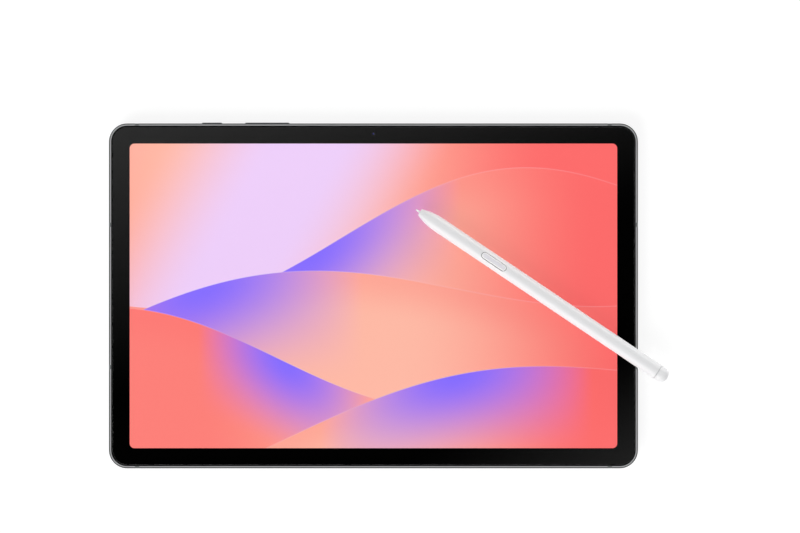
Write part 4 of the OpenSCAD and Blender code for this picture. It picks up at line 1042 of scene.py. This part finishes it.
def contactRims():
    # a low rounded rim round each spring pin: a flat oval turned about the pin
    look, t = contactLook, np.linspace(0, 2 * math.pi, 12, endpoint=False)
    mean, half = (look["inner"] + look["outer"]) / 2, (look["outer"] - look["inner"]) / 2
    profile = np.stack([mean + half * np.cos(t), look["proud"] * np.sin(t)], -1)
    y, z = boxOf("keyboard_contact_block")[0][1], middleOf("keyboard_contact_block")[2]
    return [turned(profile, (k * look["pitch"], y, z), (1, 0, 0), (0, 0, 1), 48)
            for k in (-1, 0, 1)]


makePiece("contact_pin_rims", contactRims(), metalFinish["usbShellSteel"], "tablet",
          wrapRows=True)

windowRings = {
    # inner and outer radius, thickness, cut of the corners, points round it
    "camera_window_print": {
        "inner": 1.46 * mm, "outer": 5.40 * mm, "thick": 0.03 * mm, "cut": 0.005 * mm, "count": 128,
        "finish": inkPrint, "slot": "black_print"},
    "camera_light_stop": {
        "inner": 1.32 * mm, "outer": 1.45 * mm, "thick": 0.05 * mm, "cut": 0.012 * mm, "count": 96,
        "finish": ringMetal, "slot": "ring_metal"},
}
windowGap = 0.008 * mm


def flatRing(look):
    # flat ring over the window: a rectangle with its corners cut, turned about the lens axis
    inner, outer, cut = look["inner"], look["outer"], look["cut"]
    low, high = windowGap, windowGap + look["thick"]
    profile = [(inner + cut, low), (outer - cut, low), (outer, low + cut), (outer, high - cut),
               (outer - cut, high), (inner + cut, high), (inner, high - cut), (inner, low + cut)]
    centre = (cameraSpot[0], cameraSpot[1], float(boxOf("rear_camera_window")[1][2]))
    return turned(profile, centre, count=look["count"])


for name, look in windowRings.items():
    makePiece(name, [flatRing(look)], look["finish"], "tablet", wrapRows=True)
print("fine parts made")


# camera, floor and lamps

cameraLook = {"lens": 170.0, "sensor": 36.0, "spot": (0.01277, 0.01413, 1.8230)}


def placeCamera():
    # straight above the screen, so that the tablet lies square in the view
    data = bpy.data.cameras.new("viewCamera")
    data.lens = cameraLook["lens"]
    data.sensor_width = cameraLook["sensor"]
    data.clip_start = 0.01
    camera = bpy.data.objects.new("viewCamera", data)
    bpy.context.scene.collection.objects.link(camera)
    camera.location = cameraLook["spot"]
    bpy.context.scene.camera = camera


floorLook = {"half": 3.0, "gap": 0.05 * mm, "bounce": 0.75, "seen": 0.33, "glow": 0.78,
             "near": 3.0 * mm}


def layFloor():
    # pale paper: the camera and mirrors see it near white with a soft shadow; from below it is
    # clear, and so it is for what lies closer to it than "near", so that the back has light
    half, low = floorLook["half"], cadLow[2] - floorLook["gap"]
    data = bpy.data.meshes.new("paleFloor")
    corners = [(x * half, y * half, low) for x, y in ((-1, -1), (1, -1), (1, 1), (-1, 1))]
    data.from_pydata(corners, [], [(0, 1, 2, 3)])
    floor = bpy.data.objects.new("paleFloor", data)
    bpy.context.scene.collection.objects.link(floor)
    sheet = newMaterial("paleFloorPaper")
    path = sheet.read("ShaderNodeLightPath")
    mirrored = sheet.most(path["Is Glossy Ray"], path["Is Transmission Ray"])
    seen = sheet.most(path["Is Camera Ray"], mirrored)
    fibre = sheet.group(fineGrain, Scale=900.0, Tint=0.02)["Shade"]
    paper = sheet.mix(seen, grey(floorLook["bounce"]), grey(floorLook["seen"]))
    sheet.put("Base Color", sheet.shaded(paper, fibre))
    sheet.put("Roughness", 0.9)
    sheet.put("Specular IOR Level", 0.0)
    sheet.put("Emission Color", grey(1.0))
    sheet.put("Emission Strength", seen * floorLook["glow"])
    near = sheet.math("LESS_THAN", path["Ray Length"], floorLook["near"])
    close = near * (1.0 - path["Is Camera Ray"])
    sheet.clearWhere(sheet.most(sheet.read("ShaderNodeNewGeometry")["Backfacing"], close))
    sheet.material.cycles.emission_sampling = "NONE"  # its glow is only for mirrors
    data.materials.append(sheet.material)


roomLook = {
    "level": 0.42, "clothEdge": (0.985, 0.955), "clothLevel": 0.42,
    # the cloth's light is mirror * max(upper, lower, 0) ** bend; (a, b, c) means a x + b y + c
    "upper": (-0.92, 2.546, 0.021), "lower": (1.948, -3.596, -0.187), "bend": 1.553, "mirror": 5.3,
    "underEdge": (-0.55, -0.97), "underSlope": (-0.6, 0.36, 0.72), "underLeast": 0.05,
    "leftLamp": {"side": -1, "rise": 30.0, "spread": 25.0, "power": 3.85},
    "rightLamp": {"side": 1, "rise": 6.0, "spread": 20.0, "power": 6.3}, "lampsInMirrors": 0.12}


def makeRoom():
    # pale room by direction: over the screen hangs a dark cloth with two soft slopes, which the
    # glass mirrors, and on both sides of the pen a wide soft lamp stands low
    world = bpy.data.worlds.new("studioRoom")
    bpy.context.scene.world = world
    world.use_nodes = True
    world.node_tree.nodes.clear()
    sheet = Sheet(world.node_tree)
    x, y, z = sheet.axes(sheet.read("ShaderNodeTexCoord")["Generated"])

    def slope(name):
        a, b, c = roomLook[name]
        return x * a + y * b + c

    tone = sheet.most(sheet.most(slope("upper"), slope("lower")), 0.0)
    cloth = sheet.least(tone ** roomLook["bend"] * roomLook["mirror"], roomLook["clothLevel"])
    openness = sheet.step(z, *roomLook["clothEdge"])
    level = cloth * (1.0 - openness) + openness * roomLook["level"]
    under = sheet.step(z, *roomLook["underEdge"])
    deep = sheet.most(slope("underSlope"), roomLook["underLeast"])
    level = level * (1.0 - under) + deep * under
    path = sheet.read("ShaderNodeLightPath")
    share = 1.0 - path["Is Glossy Ray"] * (1.0 - roomLook["lampsInMirrors"])
    for lamp in (roomLook["leftLamp"], roomLook["rightLamp"]):
        rise = math.radians(lamp["rise"])
        aim = lamp["side"] * math.cos(rise) * penAcross
        near = x * aim[0] + y * aim[1] + z * math.sin(rise)
        edge = [math.cos(math.radians(lamp["spread"] + k)) for k in (4, -4)]
        level = level + sheet.step(near, *edge) * lamp["power"] * share
    shown = sheet.most(level, path["Is Camera Ray"])
    light = sheet.node("ShaderNodeBackground")
    sheet.join(grey(1.0), light.inputs["Color"])
    sheet.join(shown, light.inputs["Strength"])
    sheet.join(light.outputs[0], sheet.node("ShaderNodeOutputWorld").inputs[0])


placeCamera()
layFloor()
makeRoom()
bpy.context.scene.view_settings.view_transform = "Standard"
print("stage ready")
